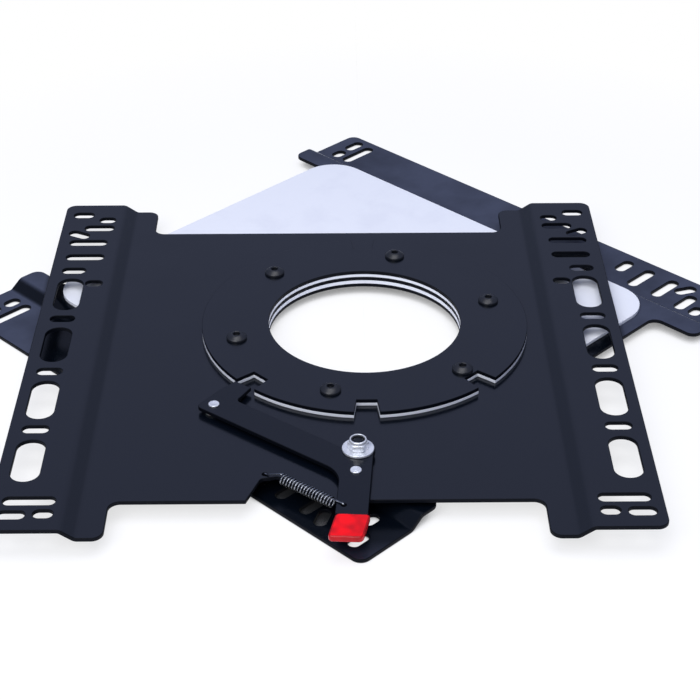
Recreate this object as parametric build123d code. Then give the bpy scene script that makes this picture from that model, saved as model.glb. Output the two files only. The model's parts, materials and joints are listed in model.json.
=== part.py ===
"""Swivel seat base: two joggled steel plates that turn on a clamped hub and lock with a spring latch.

Millimetres, +Z up. The origin is on the swivel axis, level with the underside of the lower flanges.
X runs across the lower plate, from flange to flange, and Y runs along its flanges.
Both plates share one blank; only the upper one has windows. It stands turned by SWIVEL_TURN.
"""

import math
import os

from build123d import *

# Plates: one blank for both, with a flat deck and two flanges raised by a joggle
STEEL = 3.0
DECK_LENGTH = 370.0
DECK_WIDTH = 332.0
FLANGE_WIDTH = 49.0
JOGGLE_HEIGHT = 7.0
JOGGLE_RUN = 10.0
BEND_RADIUS = 4.0
EAR_WIDTH = 19.0
EAR_LENGTH = 39.0
CORNER_RADIUS = 8.0
PLATE_WIDTH = DECK_WIDTH + 2 * (JOGGLE_RUN + FLANGE_WIDTH)
PLATE_LENGTH = DECK_LENGTH + 2 * EAR_LENGTH
CENTRE_X = -28.5
CENTRE_Y = -36.5

# Flange slots: places are measured in from the flange's outer edge and its two ends.
# The lower plate has the slots near both ends; the upper one also has windows with slots between
SLOT_WIDTH = 9.0
WINDOW_WIDTH = 20.2
WINDOW_LENGTH = 48.0
WINDOW_COUNT = 4
WINDOW_PITCH = 74.0
WINDOW_INSET = 18.9
BOLT_SLOT = 19.0
CORNER_SLOT = 17.0
SHORT_SLOT = 13.5
WIDE_SLOT = 24.5
SKEW_SLOT = 18.5
SKEW_ANGLE = 27.0
LONG_SLOT = 31.0
LONG_PITCH = 24.0
FRONT_SLOT = 35.5
OUTER_INSET = 16.0
MIDDLE_INSET = 25.2
INNER_INSET = 37.2
CORNER_FROM_BACK = 18.0
SHORT_FROM_BACK = 27.0
WIDE_FROM_BACK = 41.0
SKEW_FROM_BACK = 52.0
LONG_FROM_BACK = 66.0
BOLT_FROM_BACK = 112.0
INNER_FROM_BACK = 132.2
FRONT_FROM_FRONT = 31.5
CORNER_FROM_FRONT = 16.5
SHORT_FROM_FRONT = 17.5

# Turning joint: slip sheet, hub, slip ring and clamp ring, from the bottom up
BORE_DIAMETER = 149.0
HUB_DIAMETER = 217.0
RING_OVERLAP = 17.5
RING_DIAMETER = HUB_DIAMETER + 2 * RING_OVERLAP
SHEET_THICKNESS = 3.0
SLIP_RING_THICKNESS = 2.5
CLAMP_THICKNESS = 3.0
SHEET_SIDE_MARGIN = 2.5
SHEET_BACK_MARGIN = 11.5
SHEET_OVERHANG = 4.5
SHEET_RADIUS = 30.0
RUN_GAP = 0.1
HUB_GAP = 0.3
SWIVEL_TURN = 135.0

# Lock notches in both rings, as bearings on the lower plate
NOTCH_BEARINGS = (0.0, 45.0, 90.0, 225.0)
NOTCH_DEPTH = 16.0
NOTCH_FLOOR = 15.0
NOTCH_MOUTH = 19.0

# Clamp screws, button head with hexagon socket, and their weld nuts
SCREW_COUNT = 6
SCREW_MARGIN = 7.0
SCREW_CIRCLE_DIAMETER = HUB_DIAMETER - 2 * SCREW_MARGIN
SCREW_START = 30.0
SCREW_DIAMETER = 8.0
SCREW_LENGTH = 20.0
SCREW_HOLE = 8.6
HEAD_DIAMETER = 14.0
HEAD_HEIGHT = 4.4
SOCKET_SIZE = 5.0
SOCKET_DEPTH = 2.6
WELD_NUT_SIZE = 14.0
WELD_NUT_HEIGHT = 6.0
THREAD_GAP = 0.05

# Latch lever: a bell crank whose tooth drops into a notch; it is stored held clear of the ring
LATCH_BEARING = 225.0
LATCH_RELEASE = 7.4
LEVER_THICKNESS = 3.0
ARM_WIDTH = 23.0
ARM_CLEARANCE = 5.0
ARM_RADIUS = 4.0
TOOTH_GAP = 0.35
TOOTH_TIP_GAP = 2.0
PIVOT_ACROSS = 116.2
PIVOT_PAST_RING = 0.2
PIVOT_BOSS = 24.0
HANDLE_BEARING = -56.5
HANDLE_WIDTH = 22.0
CROOK_RADIUS = 12.0
GRIP_PAST_EDGE = 21.7
GRIP_SIDE = 1.2
GRIP_SKEW = -8.4
GRIP_LENGTH = 25.0
GRIP_WIDTH = 21.8
GRIP_THICKNESS = 5.0
GRIP_RADIUS = 4.0
GRIP_WALL = 2.0

# Latch pivot: flush stud, spacer, washer and lock nut with a nylon collar
STUD_DIAMETER = 8.0
STUD_HEAD = 12.0
STUD_HEAD_HEIGHT = 1.4
PIVOT_FIT = 0.08
SPACER_DIAMETER = 20.0
WASHER_DIAMETER = 22.5
WASHER_THICKNESS = 1.8
NUT_SIZE = 13.0
NUT_HEIGHT = 7.6
NUT_COLLAR = 12.2
NUT_COLLAR_HEIGHT = 2.6
INSERT_WALL = 1.2
STUD_RECESS = 1.6

# Rivets through the lever, each holding a glide pad that keeps it level with the clamp ring
RIVET_HEAD = 8.0
RIVET_HEAD_HEIGHT = 1.2
RIVET_SHANK = 5.0
PAD_DIAMETER = 14.0
RIVET_ON_HANDLE = 24.4

# Return spring between a hole in the deck and a hole in the handle; its coil hangs in the cut-out
SPRING_WIRE = 1.2
SPRING_DIAMETER = 8.0
SPRING_DECK_LEAD = 14.9
SPRING_HANDLE_LEAD = 9.0
SPRING_HOLE = 3.6
SPRING_HOLE_PAST_EDGE = 11.9
SPRING_HOLE_SIDE = 5.8
ANCHOR_FROM_HANDLE = 54.2
ANCHOR_FROM_EDGE = 29.7

# Cut-out in the front edge of the upper deck, which gives the spring room; its places are the anchor's
CUT_CLEARANCE = 3.7
CUT_ALONG = 9.0
CUT_SHOULDER = 12.0
CUT_SHOULDER_DROP = 2.5
CUT_LEFT = 12.0
CUT_RADIUS = 4.0

# Levels, from the underside of the lower flanges upwards
LOWER_DECK = JOGGLE_HEIGHT
SHEET_LEVEL = LOWER_DECK + STEEL
HUB_LEVEL = SHEET_LEVEL + SHEET_THICKNESS
HUB_THICKNESS = STEEL + 2 * RUN_GAP
UPPER_DECK = HUB_LEVEL + RUN_GAP
UPPER_TOP = UPPER_DECK + STEEL
SLIP_LEVEL = HUB_LEVEL + HUB_THICKNESS
CLAMP_LEVEL = SLIP_LEVEL + SLIP_RING_THICKNESS
CLAMP_TOP = CLAMP_LEVEL + CLAMP_THICKNESS
LEVER_TOP = CLAMP_LEVEL + LEVER_THICKNESS
WASHER_LEVEL = LEVER_TOP + RUN_GAP
NUT_LEVEL = WASHER_LEVEL + WASHER_THICKNESS
NUT_TOP = NUT_LEVEL + NUT_HEIGHT
HOOK_RISE = (SPRING_DIAMETER - SPRING_WIRE) / 2 - RUN_GAP
SPRING_LEVEL = LEVER_TOP + RUN_GAP + SPRING_WIRE / 2 - HOOK_RISE

# Outlines that several pieces share
HALF_WIDTH = PLATE_WIDTH / 2
HALF_LENGTH = PLATE_LENGTH / 2
DECK_FRONT = CENTRE_Y - DECK_LENGTH / 2
EAR_INSIDE = DECK_WIDTH / 2 - EAR_WIDTH
RING_RADIUS = RING_DIAMETER / 2
NOTCH_RADIUS = RING_RADIUS - NOTCH_DEPTH
PIVOT_OUT = RING_RADIUS + PIVOT_PAST_RING
PIVOT = Vector(PIVOT_ACROSS, -PIVOT_OUT)
HANDLE = Vector(1, 0).rotate(Axis.Z, HANDLE_BEARING)
HANDLE_SIDE = Vector(1, 0).rotate(Axis.Z, HANDLE_BEARING - 90)
CUT = (-1000.0, 1000.0)

# Where the locked handle crosses the upper deck's front edge; the grip, spring and bay keep to it
PIVOT_ON_PLATE = PIVOT.rotate(Axis.Z, LATCH_BEARING - 270)
HANDLE_ON_PLATE = HANDLE.rotate(Axis.Z, LATCH_BEARING - 270)
HANDLE_TO_EDGE = (DECK_FRONT - PIVOT_ON_PLATE.Y) / HANDLE_ON_PLATE.Y
HANDLE_AT_EDGE = PIVOT_ON_PLATE.X + HANDLE_ON_PLATE.X * HANDLE_TO_EDGE
GRIP_REACH = HANDLE_TO_EDGE + GRIP_PAST_EDGE
SPRING_HOLE_REACH = HANDLE_TO_EDGE + SPRING_HOLE_PAST_EDGE


def disc(diameter, low, high, x=0.0, y=0.0):
    """A cylinder about a vertical axis through x, y, from level low to level high."""
    return Pos(x, y, low) * extrude(Circle(diameter / 2), high - low)


def through(sketch):
    """A cutter that runs the sketch through every level."""
    return Pos(0, 0, CUT[0]) * extrude(sketch, CUT[1] - CUT[0])


def screw_places():
    """The clamp screws' places on their circle."""
    return PolarLocations(SCREW_CIRCLE_DIAMETER / 2, SCREW_COUNT, start_angle=SCREW_START)


def corners_at(sketch, points, reach=0.5):
    """The sketch's corners that lie at the given points."""
    found = ShapeList()
    for corner in sketch.vertices():
        near = [p for p in points if (Vector(*corner) - Vector(*p)).length < reach]
        if near:
            found.append(corner)
    return found


def bent_section():
    """The plate's cross-section: deck, joggles and flanges, with the deck's underside at level 0."""
    deck = DECK_WIDTH / 2
    flange = HALF_WIDTH - FLANGE_WIDTH
    slope = math.atan2(JOGGLE_HEIGHT, flange - deck)
    shift = STEEL * math.tan(slope / 2)
    outline = [
        (HALF_WIDTH, JOGGLE_HEIGHT),
        (flange, JOGGLE_HEIGHT),
        (deck, 0),
        (-deck, 0),
        (-flange, JOGGLE_HEIGHT),
        (-HALF_WIDTH, JOGGLE_HEIGHT),
        (-HALF_WIDTH, JOGGLE_HEIGHT + STEEL),
        (-flange + shift, JOGGLE_HEIGHT + STEEL),
        (-deck + shift, STEEL),
        (deck - shift, STEEL),
        (flange - shift, JOGGLE_HEIGHT + STEEL),
        (HALF_WIDTH, JOGGLE_HEIGHT + STEEL),
    ]
    section = make_face(Polyline(*outline, close=True))
    inner = [(s * flange, JOGGLE_HEIGHT) for s in (-1, 1)]
    inner += [(s * (deck - shift), STEEL) for s in (-1, 1)]
    outer = [(s * deck, 0) for s in (-1, 1)]
    outer += [(s * (flange - shift), JOGGLE_HEIGHT + STEEL) for s in (-1, 1)]
    section = fillet(corners_at(section, inner), BEND_RADIUS)
    return fillet(corners_at(section, outer), BEND_RADIUS + STEEL)


def plate_outline():
    """The blank seen from above: a rectangle with a bay between the ears at each end."""
    bay = Rectangle(2 * EAR_INSIDE, 2 * EAR_LENGTH)
    outline = Rectangle(PLATE_WIDTH, PLATE_LENGTH)
    for end in (-HALF_LENGTH, HALF_LENGTH):
        outline -= Pos(0, end) * bay
    return fillet(outline.vertices(), CORNER_RADIUS)


def slot(inset, y, length, angle=0.0):
    """One flange slot, with its middle an inset from the outer edge."""
    return Pos(HALF_WIDTH - inset, y) * Rot(0, 0, angle) * SlotOverall(length, SLOT_WIDTH)


def end_slots():
    """The slots near both ends of one flange, in the blank's own centre."""
    back, front = HALF_LENGTH, -HALF_LENGTH
    wide_inset = INNER_INSET - (WIDE_SLOT - SHORT_SLOT) / 2
    front_inset = INNER_INSET - (FRONT_SLOT - SHORT_SLOT) / 2
    return [
        slot(OUTER_INSET, back - CORNER_FROM_BACK, CORNER_SLOT),
        slot(INNER_INSET, back - SHORT_FROM_BACK, SHORT_SLOT),
        slot(wide_inset, back - WIDE_FROM_BACK, WIDE_SLOT),
        slot(OUTER_INSET, back - SKEW_FROM_BACK, SKEW_SLOT, SKEW_ANGLE),
        slot(MIDDLE_INSET, back - LONG_FROM_BACK, LONG_SLOT),
        slot(MIDDLE_INSET, back - LONG_FROM_BACK - LONG_PITCH, LONG_SLOT),
        slot(WINDOW_INSET, back - BOLT_FROM_BACK, BOLT_SLOT),
        slot(front_inset, front + FRONT_FROM_FRONT, FRONT_SLOT),
        slot(OUTER_INSET, front + CORNER_FROM_FRONT, BOLT_SLOT),
        slot(INNER_INSET, front + SHORT_FROM_FRONT, SHORT_SLOT),
    ]


def window_row():
    """The windows along one flange, with a slot between each two and a short one beside the first."""
    first = HALF_LENGTH - BOLT_FROM_BACK
    shapes = [slot(INNER_INSET, HALF_LENGTH - INNER_FROM_BACK, SHORT_SLOT)]
    for number in range(WINDOW_COUNT):
        window = RectangleRounded(WINDOW_WIDTH, WINDOW_LENGTH, 0.49 * WINDOW_WIDTH)
        window_y = first - (number + 0.5) * WINDOW_PITCH
        shapes.append(Pos(HALF_WIDTH - WINDOW_INSET, window_y) * window)
        if number:
            shapes.append(slot(WINDOW_INSET, first - number * WINDOW_PITCH, BOLT_SLOT))
    return shapes


def plate(cuts):
    """One bent plate, its deck's underside at 0, with the given cuts in both flanges."""
    bent = Plane.XZ * extrude(bent_section(), HALF_LENGTH, both=True)
    slots = Sketch() + cuts
    blank = plate_outline() - slots - mirror(slots, Plane.YZ)
    return Pos(CENTRE_X, CENTRE_Y) * (bent & through(blank))


def lower_plate():
    """The base plate: flanges down, a bore and the screw holes in its deck."""
    flipped = mirror(plate(end_slots()), Plane.XY)
    holes = Circle(BORE_DIAMETER / 2) + screw_places() * Circle(SCREW_HOLE / 2)
    return Pos(0, 0, LOWER_DECK + STEEL) * flipped - through(holes)


def slip_sheet():
    """The plastic sheet over the lower deck that the upper plate slides on."""
    width = DECK_WIDTH - 2 * SHEET_SIDE_MARGIN
    length = DECK_LENGTH + SHEET_OVERHANG - SHEET_BACK_MARGIN
    shift = -(SHEET_OVERHANG + SHEET_BACK_MARGIN) / 2
    outline = Pos(CENTRE_X, CENTRE_Y + shift) * RectangleRounded(width, length, SHEET_RADIUS)
    holes = Circle(BORE_DIAMETER / 2) + screw_places() * Circle(SCREW_HOLE / 2)
    return Pos(0, 0, SHEET_LEVEL) * extrude(outline - holes, SHEET_THICKNESS)


def ring_outline(diameter):
    """A flat ring with the bore and the screw holes."""
    return Circle(diameter / 2) - Circle(BORE_DIAMETER / 2) - screw_places() * Circle(SCREW_HOLE / 2)


def notched_outline():
    """The clamp ring's outline, with its lock notches."""
    floor, mouth = NOTCH_FLOOR / 2, NOTCH_MOUTH / 2
    past = (mouth - floor) / NOTCH_DEPTH
    beyond = NOTCH_DEPTH + STEEL
    side = floor + past * beyond
    notch = Polygon((0, -floor), (beyond, -side), (beyond, side), (0, floor), align=None)
    outline = ring_outline(RING_DIAMETER)
    for bearing in NOTCH_BEARINGS:
        outline -= Rot(0, 0, bearing) * Pos(NOTCH_RADIUS, 0) * notch
    return outline


def clamp_screw():
    """One button head screw, with its seat at level 0."""
    shank, head = SCREW_DIAMETER / 2, HEAD_DIAMETER / 2
    lead = SCREW_DIAMETER * 0.08
    rim = (head, HEAD_HEIGHT * 0.23)
    crown = (SOCKET_SIZE / 2 + 1.25, HEAD_HEIGHT)
    profile = Polyline(
        (0, -SCREW_LENGTH),
        (shank - lead, -SCREW_LENGTH),
        (shank, lead - SCREW_LENGTH),
        (shank, 0),
        (head, 0),
        rim,
    )
    dome = TangentArc(rim, crown, tangent=(0, 1))
    close = Polyline(crown, (0, HEAD_HEIGHT), (0, -SCREW_LENGTH))
    body = revolve(Plane.XZ * make_face(profile + dome + close), Axis.Z)
    socket = extrude(RegularPolygon(SOCKET_SIZE / 2, 6, major_radius=False), SOCKET_DEPTH)
    return body - Pos(0, 0, HEAD_HEIGHT - SOCKET_DEPTH) * socket


def clamp_screws():
    """The ring of screws that clamps the stack."""
    return [Pos(0, 0, CLAMP_TOP) * place * clamp_screw() for place in screw_places()]


def weld_nuts():
    """The hexagon nuts welded under the lower deck."""
    outline = RegularPolygon(WELD_NUT_SIZE / 2, 6, major_radius=False)
    outline -= Circle(SCREW_DIAMETER / 2 + THREAD_GAP)
    nut = Pos(0, 0, LOWER_DECK - WELD_NUT_HEIGHT) * extrude(outline, WELD_NUT_HEIGHT)
    return [place * nut for place in screw_places()]


def latch_frame(shape):
    """Turn a shape drawn for a notch at the front of the ring to the latch's own bearing."""
    return Rot(0, 0, LATCH_BEARING - 270) * shape


def on_upper_plate(point):
    """A point of the latch frame in the upper plate's frame."""
    return Vector(*point).rotate(Axis.Z, LATCH_BEARING - 270)


def spring_hole_point():
    """The hole in the handle that takes the spring's hook, in the latch frame."""
    return PIVOT + HANDLE * SPRING_HOLE_REACH + HANDLE_SIDE * SPRING_HOLE_SIDE


def anchor_point():
    """The hole in the upper deck that takes the spring's other hook, in the upper plate's frame."""
    return Vector(HANDLE_AT_EDGE - ANCHOR_FROM_HANDLE, DECK_FRONT + ANCHOR_FROM_EDGE)


def spring_run():
    """The stored spring from hole to hole, in the upper plate's frame."""
    swung = (spring_hole_point() - PIVOT).rotate(Axis.Z, LATCH_RELEASE) + PIVOT
    return on_upper_plate(swung) - anchor_point()


def cut_out():
    """The bay in the upper deck's front edge, with its right side along the spring."""
    anchor, along = anchor_point(), spring_run().normalized()
    apex = anchor + along * CUT_ALONG + along.rotate(Axis.Z, 90) * CUT_CLEARANCE
    right = apex.X + along.X * (DECK_FRONT - apex.Y) / along.Y
    left, below = anchor.X - CUT_LEFT, DECK_FRONT - ANCHOR_FROM_EDGE
    corners = [
        (left, DECK_FRONT),
        (apex.X - CUT_SHOULDER, apex.Y - CUT_SHOULDER_DROP),
        (apex.X, apex.Y),
        (right, DECK_FRONT),
    ]
    bay = make_face(Polyline(*corners, (right, below), (left, below), close=True))
    return fillet(corners_at(bay, corners[1:3]), CUT_RADIUS)


def upper_plate():
    """The seat plate: flanges up, a running hole for the hub and the latch's fixings."""
    pivot = on_upper_plate(PIVOT)
    anchor = anchor_point()
    holes = Circle(HUB_DIAMETER / 2 + HUB_GAP) + cut_out()
    holes += Pos(pivot.X, pivot.Y) * Circle(STUD_DIAMETER / 2)
    holes += Pos(anchor.X, anchor.Y) * Circle(SPRING_HOLE / 2)
    seat = disc(STUD_HEAD, 0, STUD_HEAD_HEIGHT, pivot.X, pivot.Y)
    seat_plate = plate(end_slots() + window_row())
    return Pos(0, 0, UPPER_DECK) * (seat_plate - through(holes) - seat)


def pivot_stud():
    """The flush stud pressed into the upper deck from below."""
    head = disc(STUD_HEAD, UPPER_DECK, UPPER_DECK + STUD_HEAD_HEIGHT)
    shank = disc(STUD_DIAMETER, UPPER_DECK, NUT_TOP - STUD_RECESS)
    tip = shank.faces().sort_by(Axis.Z)[-1].edges()
    return head + chamfer(tip, STUD_DIAMETER * 0.08)


def pivot_washer(diameter, low, high):
    """A plain washer on the stud."""
    return disc(diameter, low, high) - disc(STUD_DIAMETER + 2 * PIVOT_FIT, low, high)


def pivot_nut():
    """The lock nut: a chamfered hexagon and a thin collar that holds the nylon insert."""
    hexagon_top = NUT_HEIGHT - NUT_COLLAR_HEIGHT
    hexagon = extrude(RegularPolygon(NUT_SIZE / 2, 6, major_radius=False), hexagon_top)
    across = NUT_SIZE / math.cos(math.pi / 6)
    blank = disc(across, 0, hexagon_top)
    hexagon &= chamfer(blank.edges().filter_by(GeomType.CIRCLE), (across - NUT_SIZE) / 2 * 0.8)
    collar = disc(NUT_COLLAR, hexagon_top, NUT_HEIGHT)
    collar = fillet(collar.faces().sort_by(Axis.Z)[-1].edges(), INSERT_WALL)
    pocket = disc(NUT_COLLAR - 2 * INSERT_WALL, hexagon_top, NUT_HEIGHT)
    bore = disc(STUD_DIAMETER + 2 * THREAD_GAP, 0, NUT_HEIGHT)
    return Pos(0, 0, NUT_LEVEL) * (hexagon + collar - pocket - bore)


def nut_insert():
    """The nylon ring in the lock nut's collar."""
    low, high = NUT_TOP - NUT_COLLAR_HEIGHT, NUT_TOP - INSERT_WALL / 2
    ring = disc(NUT_COLLAR - 2 * INSERT_WALL - 2 * THREAD_GAP, low, high)
    return ring - disc(STUD_DIAMETER + 2 * THREAD_GAP, low, high)


def on_handle(shape):
    """Set a shape drawn along X from the pivot on the handle."""
    return Pos(PIVOT.X, PIVOT.Y) * Rot(0, 0, HANDLE_BEARING) * shape


def on_grip(shape):
    """Set a shape drawn along X from the grip's mouth on the handle's end."""
    return on_handle(Pos(GRIP_REACH, GRIP_SIDE) * shape)


def skewed(length, width):
    """The grip's form in plan: ends square to the handle, sides that run off by the skew."""
    off, half = length * math.tan(math.radians(GRIP_SKEW)), width / 2
    return Polygon((0, -half), (length, off - half), (length, off + half), (0, half), align=None)


def tongue():
    """The narrow end of the handle inside the grip."""
    return skewed(GRIP_LENGTH - GRIP_WALL, GRIP_WIDTH - 2 * GRIP_WALL)


def lever_outline():
    """The bell crank in plan, drawn with its tooth in a notch at the front of the ring."""
    inside = -(RING_RADIUS + ARM_CLEARANCE)
    outside = inside - ARM_WIDTH
    tip = -(NOTCH_RADIUS + TOOTH_TIP_GAP)
    taper = (NOTCH_MOUTH - NOTCH_FLOOR) / 2 / NOTCH_DEPTH
    half_tip = NOTCH_FLOOR / 2 + taper * TOOTH_TIP_GAP - TOOTH_GAP
    half_root = NOTCH_MOUTH / 2 - TOOTH_GAP
    arm_end = PIVOT_ACROSS + math.tan(math.radians(90 + HANDLE_BEARING)) * (-outside - PIVOT_OUT)
    tooth = Polygon(
        (-half_tip, tip),
        (-half_root, -RING_RADIUS),
        (-half_root, outside),
        (half_root, outside),
        (half_root, -RING_RADIUS),
        (half_tip, tip),
        align=None,
    )
    arm = Polygon(
        (-half_root, inside),
        (-half_root, outside),
        (arm_end, outside),
        (PIVOT_ACROSS, inside),
        align=None,
    )
    bar = Pos(GRIP_REACH / 2, 0) * Rectangle(GRIP_REACH, HANDLE_WIDTH)
    handle = on_handle(bar) + on_grip(tongue())
    boss = Pos(PIVOT.X, PIVOT.Y) * Circle(PIVOT_BOSS / 2)
    outline = tooth + arm + handle + boss
    crook = HANDLE_SIDE * (HANDLE_WIDTH / 2) + PIVOT
    crook += HANDLE * ((outside - crook.Y) / HANDLE.Y)
    outline = fillet(corners_at(outline, [crook]), CROOK_RADIUS)
    outline = fillet(corners_at(outline, [(-half_root, outside), (half_root, inside)]), ARM_RADIUS)
    return outline


def rivet_points():
    """The two rivets: behind the tooth, and on the handle below the pivot."""
    behind_tooth = Vector(0, -(RING_RADIUS + ARM_CLEARANCE + ARM_WIDTH * 0.6))
    return [behind_tooth, PIVOT + HANDLE * RIVET_ON_HANDLE]


def latch_lever():
    """The bell crank plate, with its pivot, rivet and spring holes."""
    hook = spring_hole_point()
    outline = lever_outline()
    outline -= Pos(PIVOT.X, PIVOT.Y) * Circle(STUD_DIAMETER / 2 + PIVOT_FIT)
    outline -= Pos(hook.X, hook.Y) * Circle(SPRING_HOLE / 2)
    for point in rivet_points():
        outline -= Pos(point.X, point.Y) * Circle(RIVET_SHANK / 2)
    return Pos(0, 0, CLAMP_LEVEL) * extrude(outline, LEVER_THICKNESS)


def lever_rivet(point):
    """A flat-headed rivet through the lever and its pad."""
    shank = disc(RIVET_SHANK, UPPER_TOP + 2 * RUN_GAP, LEVER_TOP)
    head = disc(RIVET_HEAD, LEVER_TOP, LEVER_TOP + RIVET_HEAD_HEIGHT)
    head = fillet(head.faces().sort_by(Axis.Z)[-1].edges(), RIVET_HEAD_HEIGHT * 0.6)
    return Pos(point.X, point.Y) * (shank + head)


def glide_pad(point):
    """A round pad under the lever that slides on the upper deck."""
    low = UPPER_TOP + RUN_GAP
    pad = disc(PAD_DIAMETER, low, CLAMP_LEVEL) - disc(RIVET_SHANK, low, CLAMP_LEVEL)
    return Pos(point.X, point.Y) * pad


def lever_grip():
    """The soft cap pushed over the end of the handle, with a pocket that fits what it covers."""
    middle = CLAMP_LEVEL + LEVER_THICKNESS / 2
    outline = skewed(GRIP_LENGTH, GRIP_WIDTH)
    outline = fillet(outline.vertices(), GRIP_RADIUS)
    cap = Pos(0, 0, middle - GRIP_THICKNESS / 2) * extrude(outline, GRIP_THICKNESS)
    rims = cap.faces().filter_by(Axis.Z).edges()
    cap = on_grip(fillet(rims, GRIP_THICKNESS * 0.25))
    return cap - Pos(0, 0, CLAMP_LEVEL) * extrude(lever_outline(), LEVER_THICKNESS)


def released(shape):
    """Swing a latch piece about the pivot to where it is stored, then set it on the upper plate."""
    swing = Pos(PIVOT.X, PIVOT.Y) * Rot(0, 0, LATCH_RELEASE) * Pos(-PIVOT.X, -PIVOT.Y)
    return latch_frame(swing * shape)


def spring_hook(reach, fall, drop):
    """One end of the spring: from the coil top out to its hole, lower by fall, and down into it."""
    start = [(-SPRING_WIRE / 2, 0, HOOK_RISE)]
    slope = [(SPRING_WIRE, 0, HOOK_RISE), (reach - 2 * SPRING_WIRE, 0, HOOK_RISE - fall)]
    end = [(reach, 0, HOOK_RISE - fall), (reach, 0, HOOK_RISE - fall - drop)]
    path = FilletPolyline(*start, *(slope if fall else []), *end, radius=SPRING_WIRE * 0.8)
    return sweep(path.location_at(0) * Circle(SPRING_WIRE / 2), path)


def return_spring():
    """The spring's coil as a tube, with one hook down into the deck and one into the handle."""
    anchor, run = anchor_point(), spring_run()
    coil_start, coil_end = SPRING_DECK_LEAD, run.length - SPRING_HANDLE_LEAD
    coil = Circle(SPRING_DIAMETER / 2) - Circle(SPRING_DIAMETER / 2 - SPRING_WIRE)
    tube = Plane.YZ * extrude(coil, coil_end - coil_start)
    bend = SPRING_WIRE / 2
    deck_hook = Rot(0, 0, 180) * spring_hook(SPRING_DECK_LEAD, LEVER_TOP - UPPER_TOP, STEEL + bend)
    handle_hook = spring_hook(SPRING_HANDLE_LEAD, 0, LEVER_THICKNESS + bend)
    spring = Pos(coil_start, 0) * (tube + deck_hook) + Pos(coil_end, 0) * handle_hook
    turn = math.degrees(math.atan2(run.Y, run.X))
    return Pos(anchor.X, anchor.Y, SPRING_LEVEL) * Rot(0, 0, turn) * spring


def on_stud(shape):
    """Set a piece drawn about its own axis on the latch pivot."""
    pivot = on_upper_plate(PIVOT)
    return Pos(pivot.X, pivot.Y) * shape


def turned(shape):
    """Turn the upper plate and what it carries to the stored swivel position."""
    pieces = shape if isinstance(shape, list) else [shape]
    return [Rot(0, 0, SWIVEL_TURN) * piece for piece in pieces]


def ring(outline, low, thickness):
    """A flat ring of the given outline."""
    return Pos(0, 0, low) * extrude(outline, thickness)


PARTS = {
    "lower_plate": lower_plate(),
    "slip_sheet": slip_sheet(),
    "hub_ring": ring(ring_outline(HUB_DIAMETER), HUB_LEVEL, HUB_THICKNESS),
    "slip_ring": ring(notched_outline(), SLIP_LEVEL, SLIP_RING_THICKNESS),
    "clamp_ring": ring(notched_outline(), CLAMP_LEVEL, CLAMP_THICKNESS),
    "clamp_screws": clamp_screws(),
    "weld_nuts": weld_nuts(),
    "upper_plate": turned(upper_plate()),
    "pivot_stud": turned(on_stud(pivot_stud())),
    "pivot_spacer": turned(on_stud(pivot_washer(SPACER_DIAMETER, UPPER_TOP, CLAMP_LEVEL))),
    "pivot_washer": turned(on_stud(pivot_washer(WASHER_DIAMETER, WASHER_LEVEL, NUT_LEVEL))),
    "pivot_nut": turned(on_stud(pivot_nut())),
    "nut_insert": turned(on_stud(nut_insert())),
    "latch_lever": turned(released(latch_lever())),
    "lever_grip": turned(released(lever_grip())),
    "tooth_rivet": turned(released(lever_rivet(rivet_points()[0]))),
    "handle_rivet": turned(released(lever_rivet(rivet_points()[1]))),
    "tooth_pad": turned(released(glide_pad(rivet_points()[0]))),
    "handle_pad": turned(released(glide_pad(rivet_points()[1]))),
    "return_spring": turned(return_spring()),
}

os.makedirs("parts", exist_ok=True)
for name, shape in PARTS.items():
    solids = shape if isinstance(shape, list) else [shape]
    whole = solids[0] if len(solids) == 1 else Compound(children=solids)
    export_step(whole, f"parts/{name}.step")
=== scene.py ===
"""Swivel seat base: two joggled, slotted plates that turn on a clamped hub and lock with a sprung latch.

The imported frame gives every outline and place. Each class here rebuilds one sub-assembly of it in
millimetres, with the rolled edges, hardware and finishes of the real one, and sets it on its body.
"""

from __future__ import annotations

import json
import logging
import math
from collections.abc import Callable, Iterable, Sequence
from dataclasses import dataclass, field
from enum import Enum

import bmesh
import bpy
from mathutils import Matrix, Vector
from mathutils.geometry import delaunay_2d_cdt

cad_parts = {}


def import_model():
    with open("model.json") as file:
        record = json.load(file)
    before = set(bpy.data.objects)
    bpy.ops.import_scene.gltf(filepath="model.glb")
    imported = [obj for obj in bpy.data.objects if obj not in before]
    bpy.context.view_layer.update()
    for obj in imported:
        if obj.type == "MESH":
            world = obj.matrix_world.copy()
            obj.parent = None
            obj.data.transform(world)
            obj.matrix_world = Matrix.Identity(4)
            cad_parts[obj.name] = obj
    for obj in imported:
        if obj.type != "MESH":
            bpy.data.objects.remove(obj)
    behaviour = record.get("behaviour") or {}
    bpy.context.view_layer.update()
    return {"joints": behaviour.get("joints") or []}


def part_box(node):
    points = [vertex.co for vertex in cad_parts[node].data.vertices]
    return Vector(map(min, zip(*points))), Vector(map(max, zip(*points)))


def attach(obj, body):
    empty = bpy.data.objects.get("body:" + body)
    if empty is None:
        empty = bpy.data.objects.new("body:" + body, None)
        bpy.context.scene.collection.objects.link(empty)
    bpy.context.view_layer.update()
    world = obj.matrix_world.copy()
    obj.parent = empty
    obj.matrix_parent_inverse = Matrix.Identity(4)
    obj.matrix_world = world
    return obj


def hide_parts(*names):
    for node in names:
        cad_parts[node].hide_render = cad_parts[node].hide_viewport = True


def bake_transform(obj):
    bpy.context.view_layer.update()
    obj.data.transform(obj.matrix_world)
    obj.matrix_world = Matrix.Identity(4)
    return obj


LOG = logging.getLogger("swivel_seat_base")

Tree = bpy.types.NodeTree
Socket = bpy.types.NodeSocket
Piece = bpy.types.Object
Outline = list[Vector]
Plane = tuple[Vector, Vector]

MM = 0.001
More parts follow.
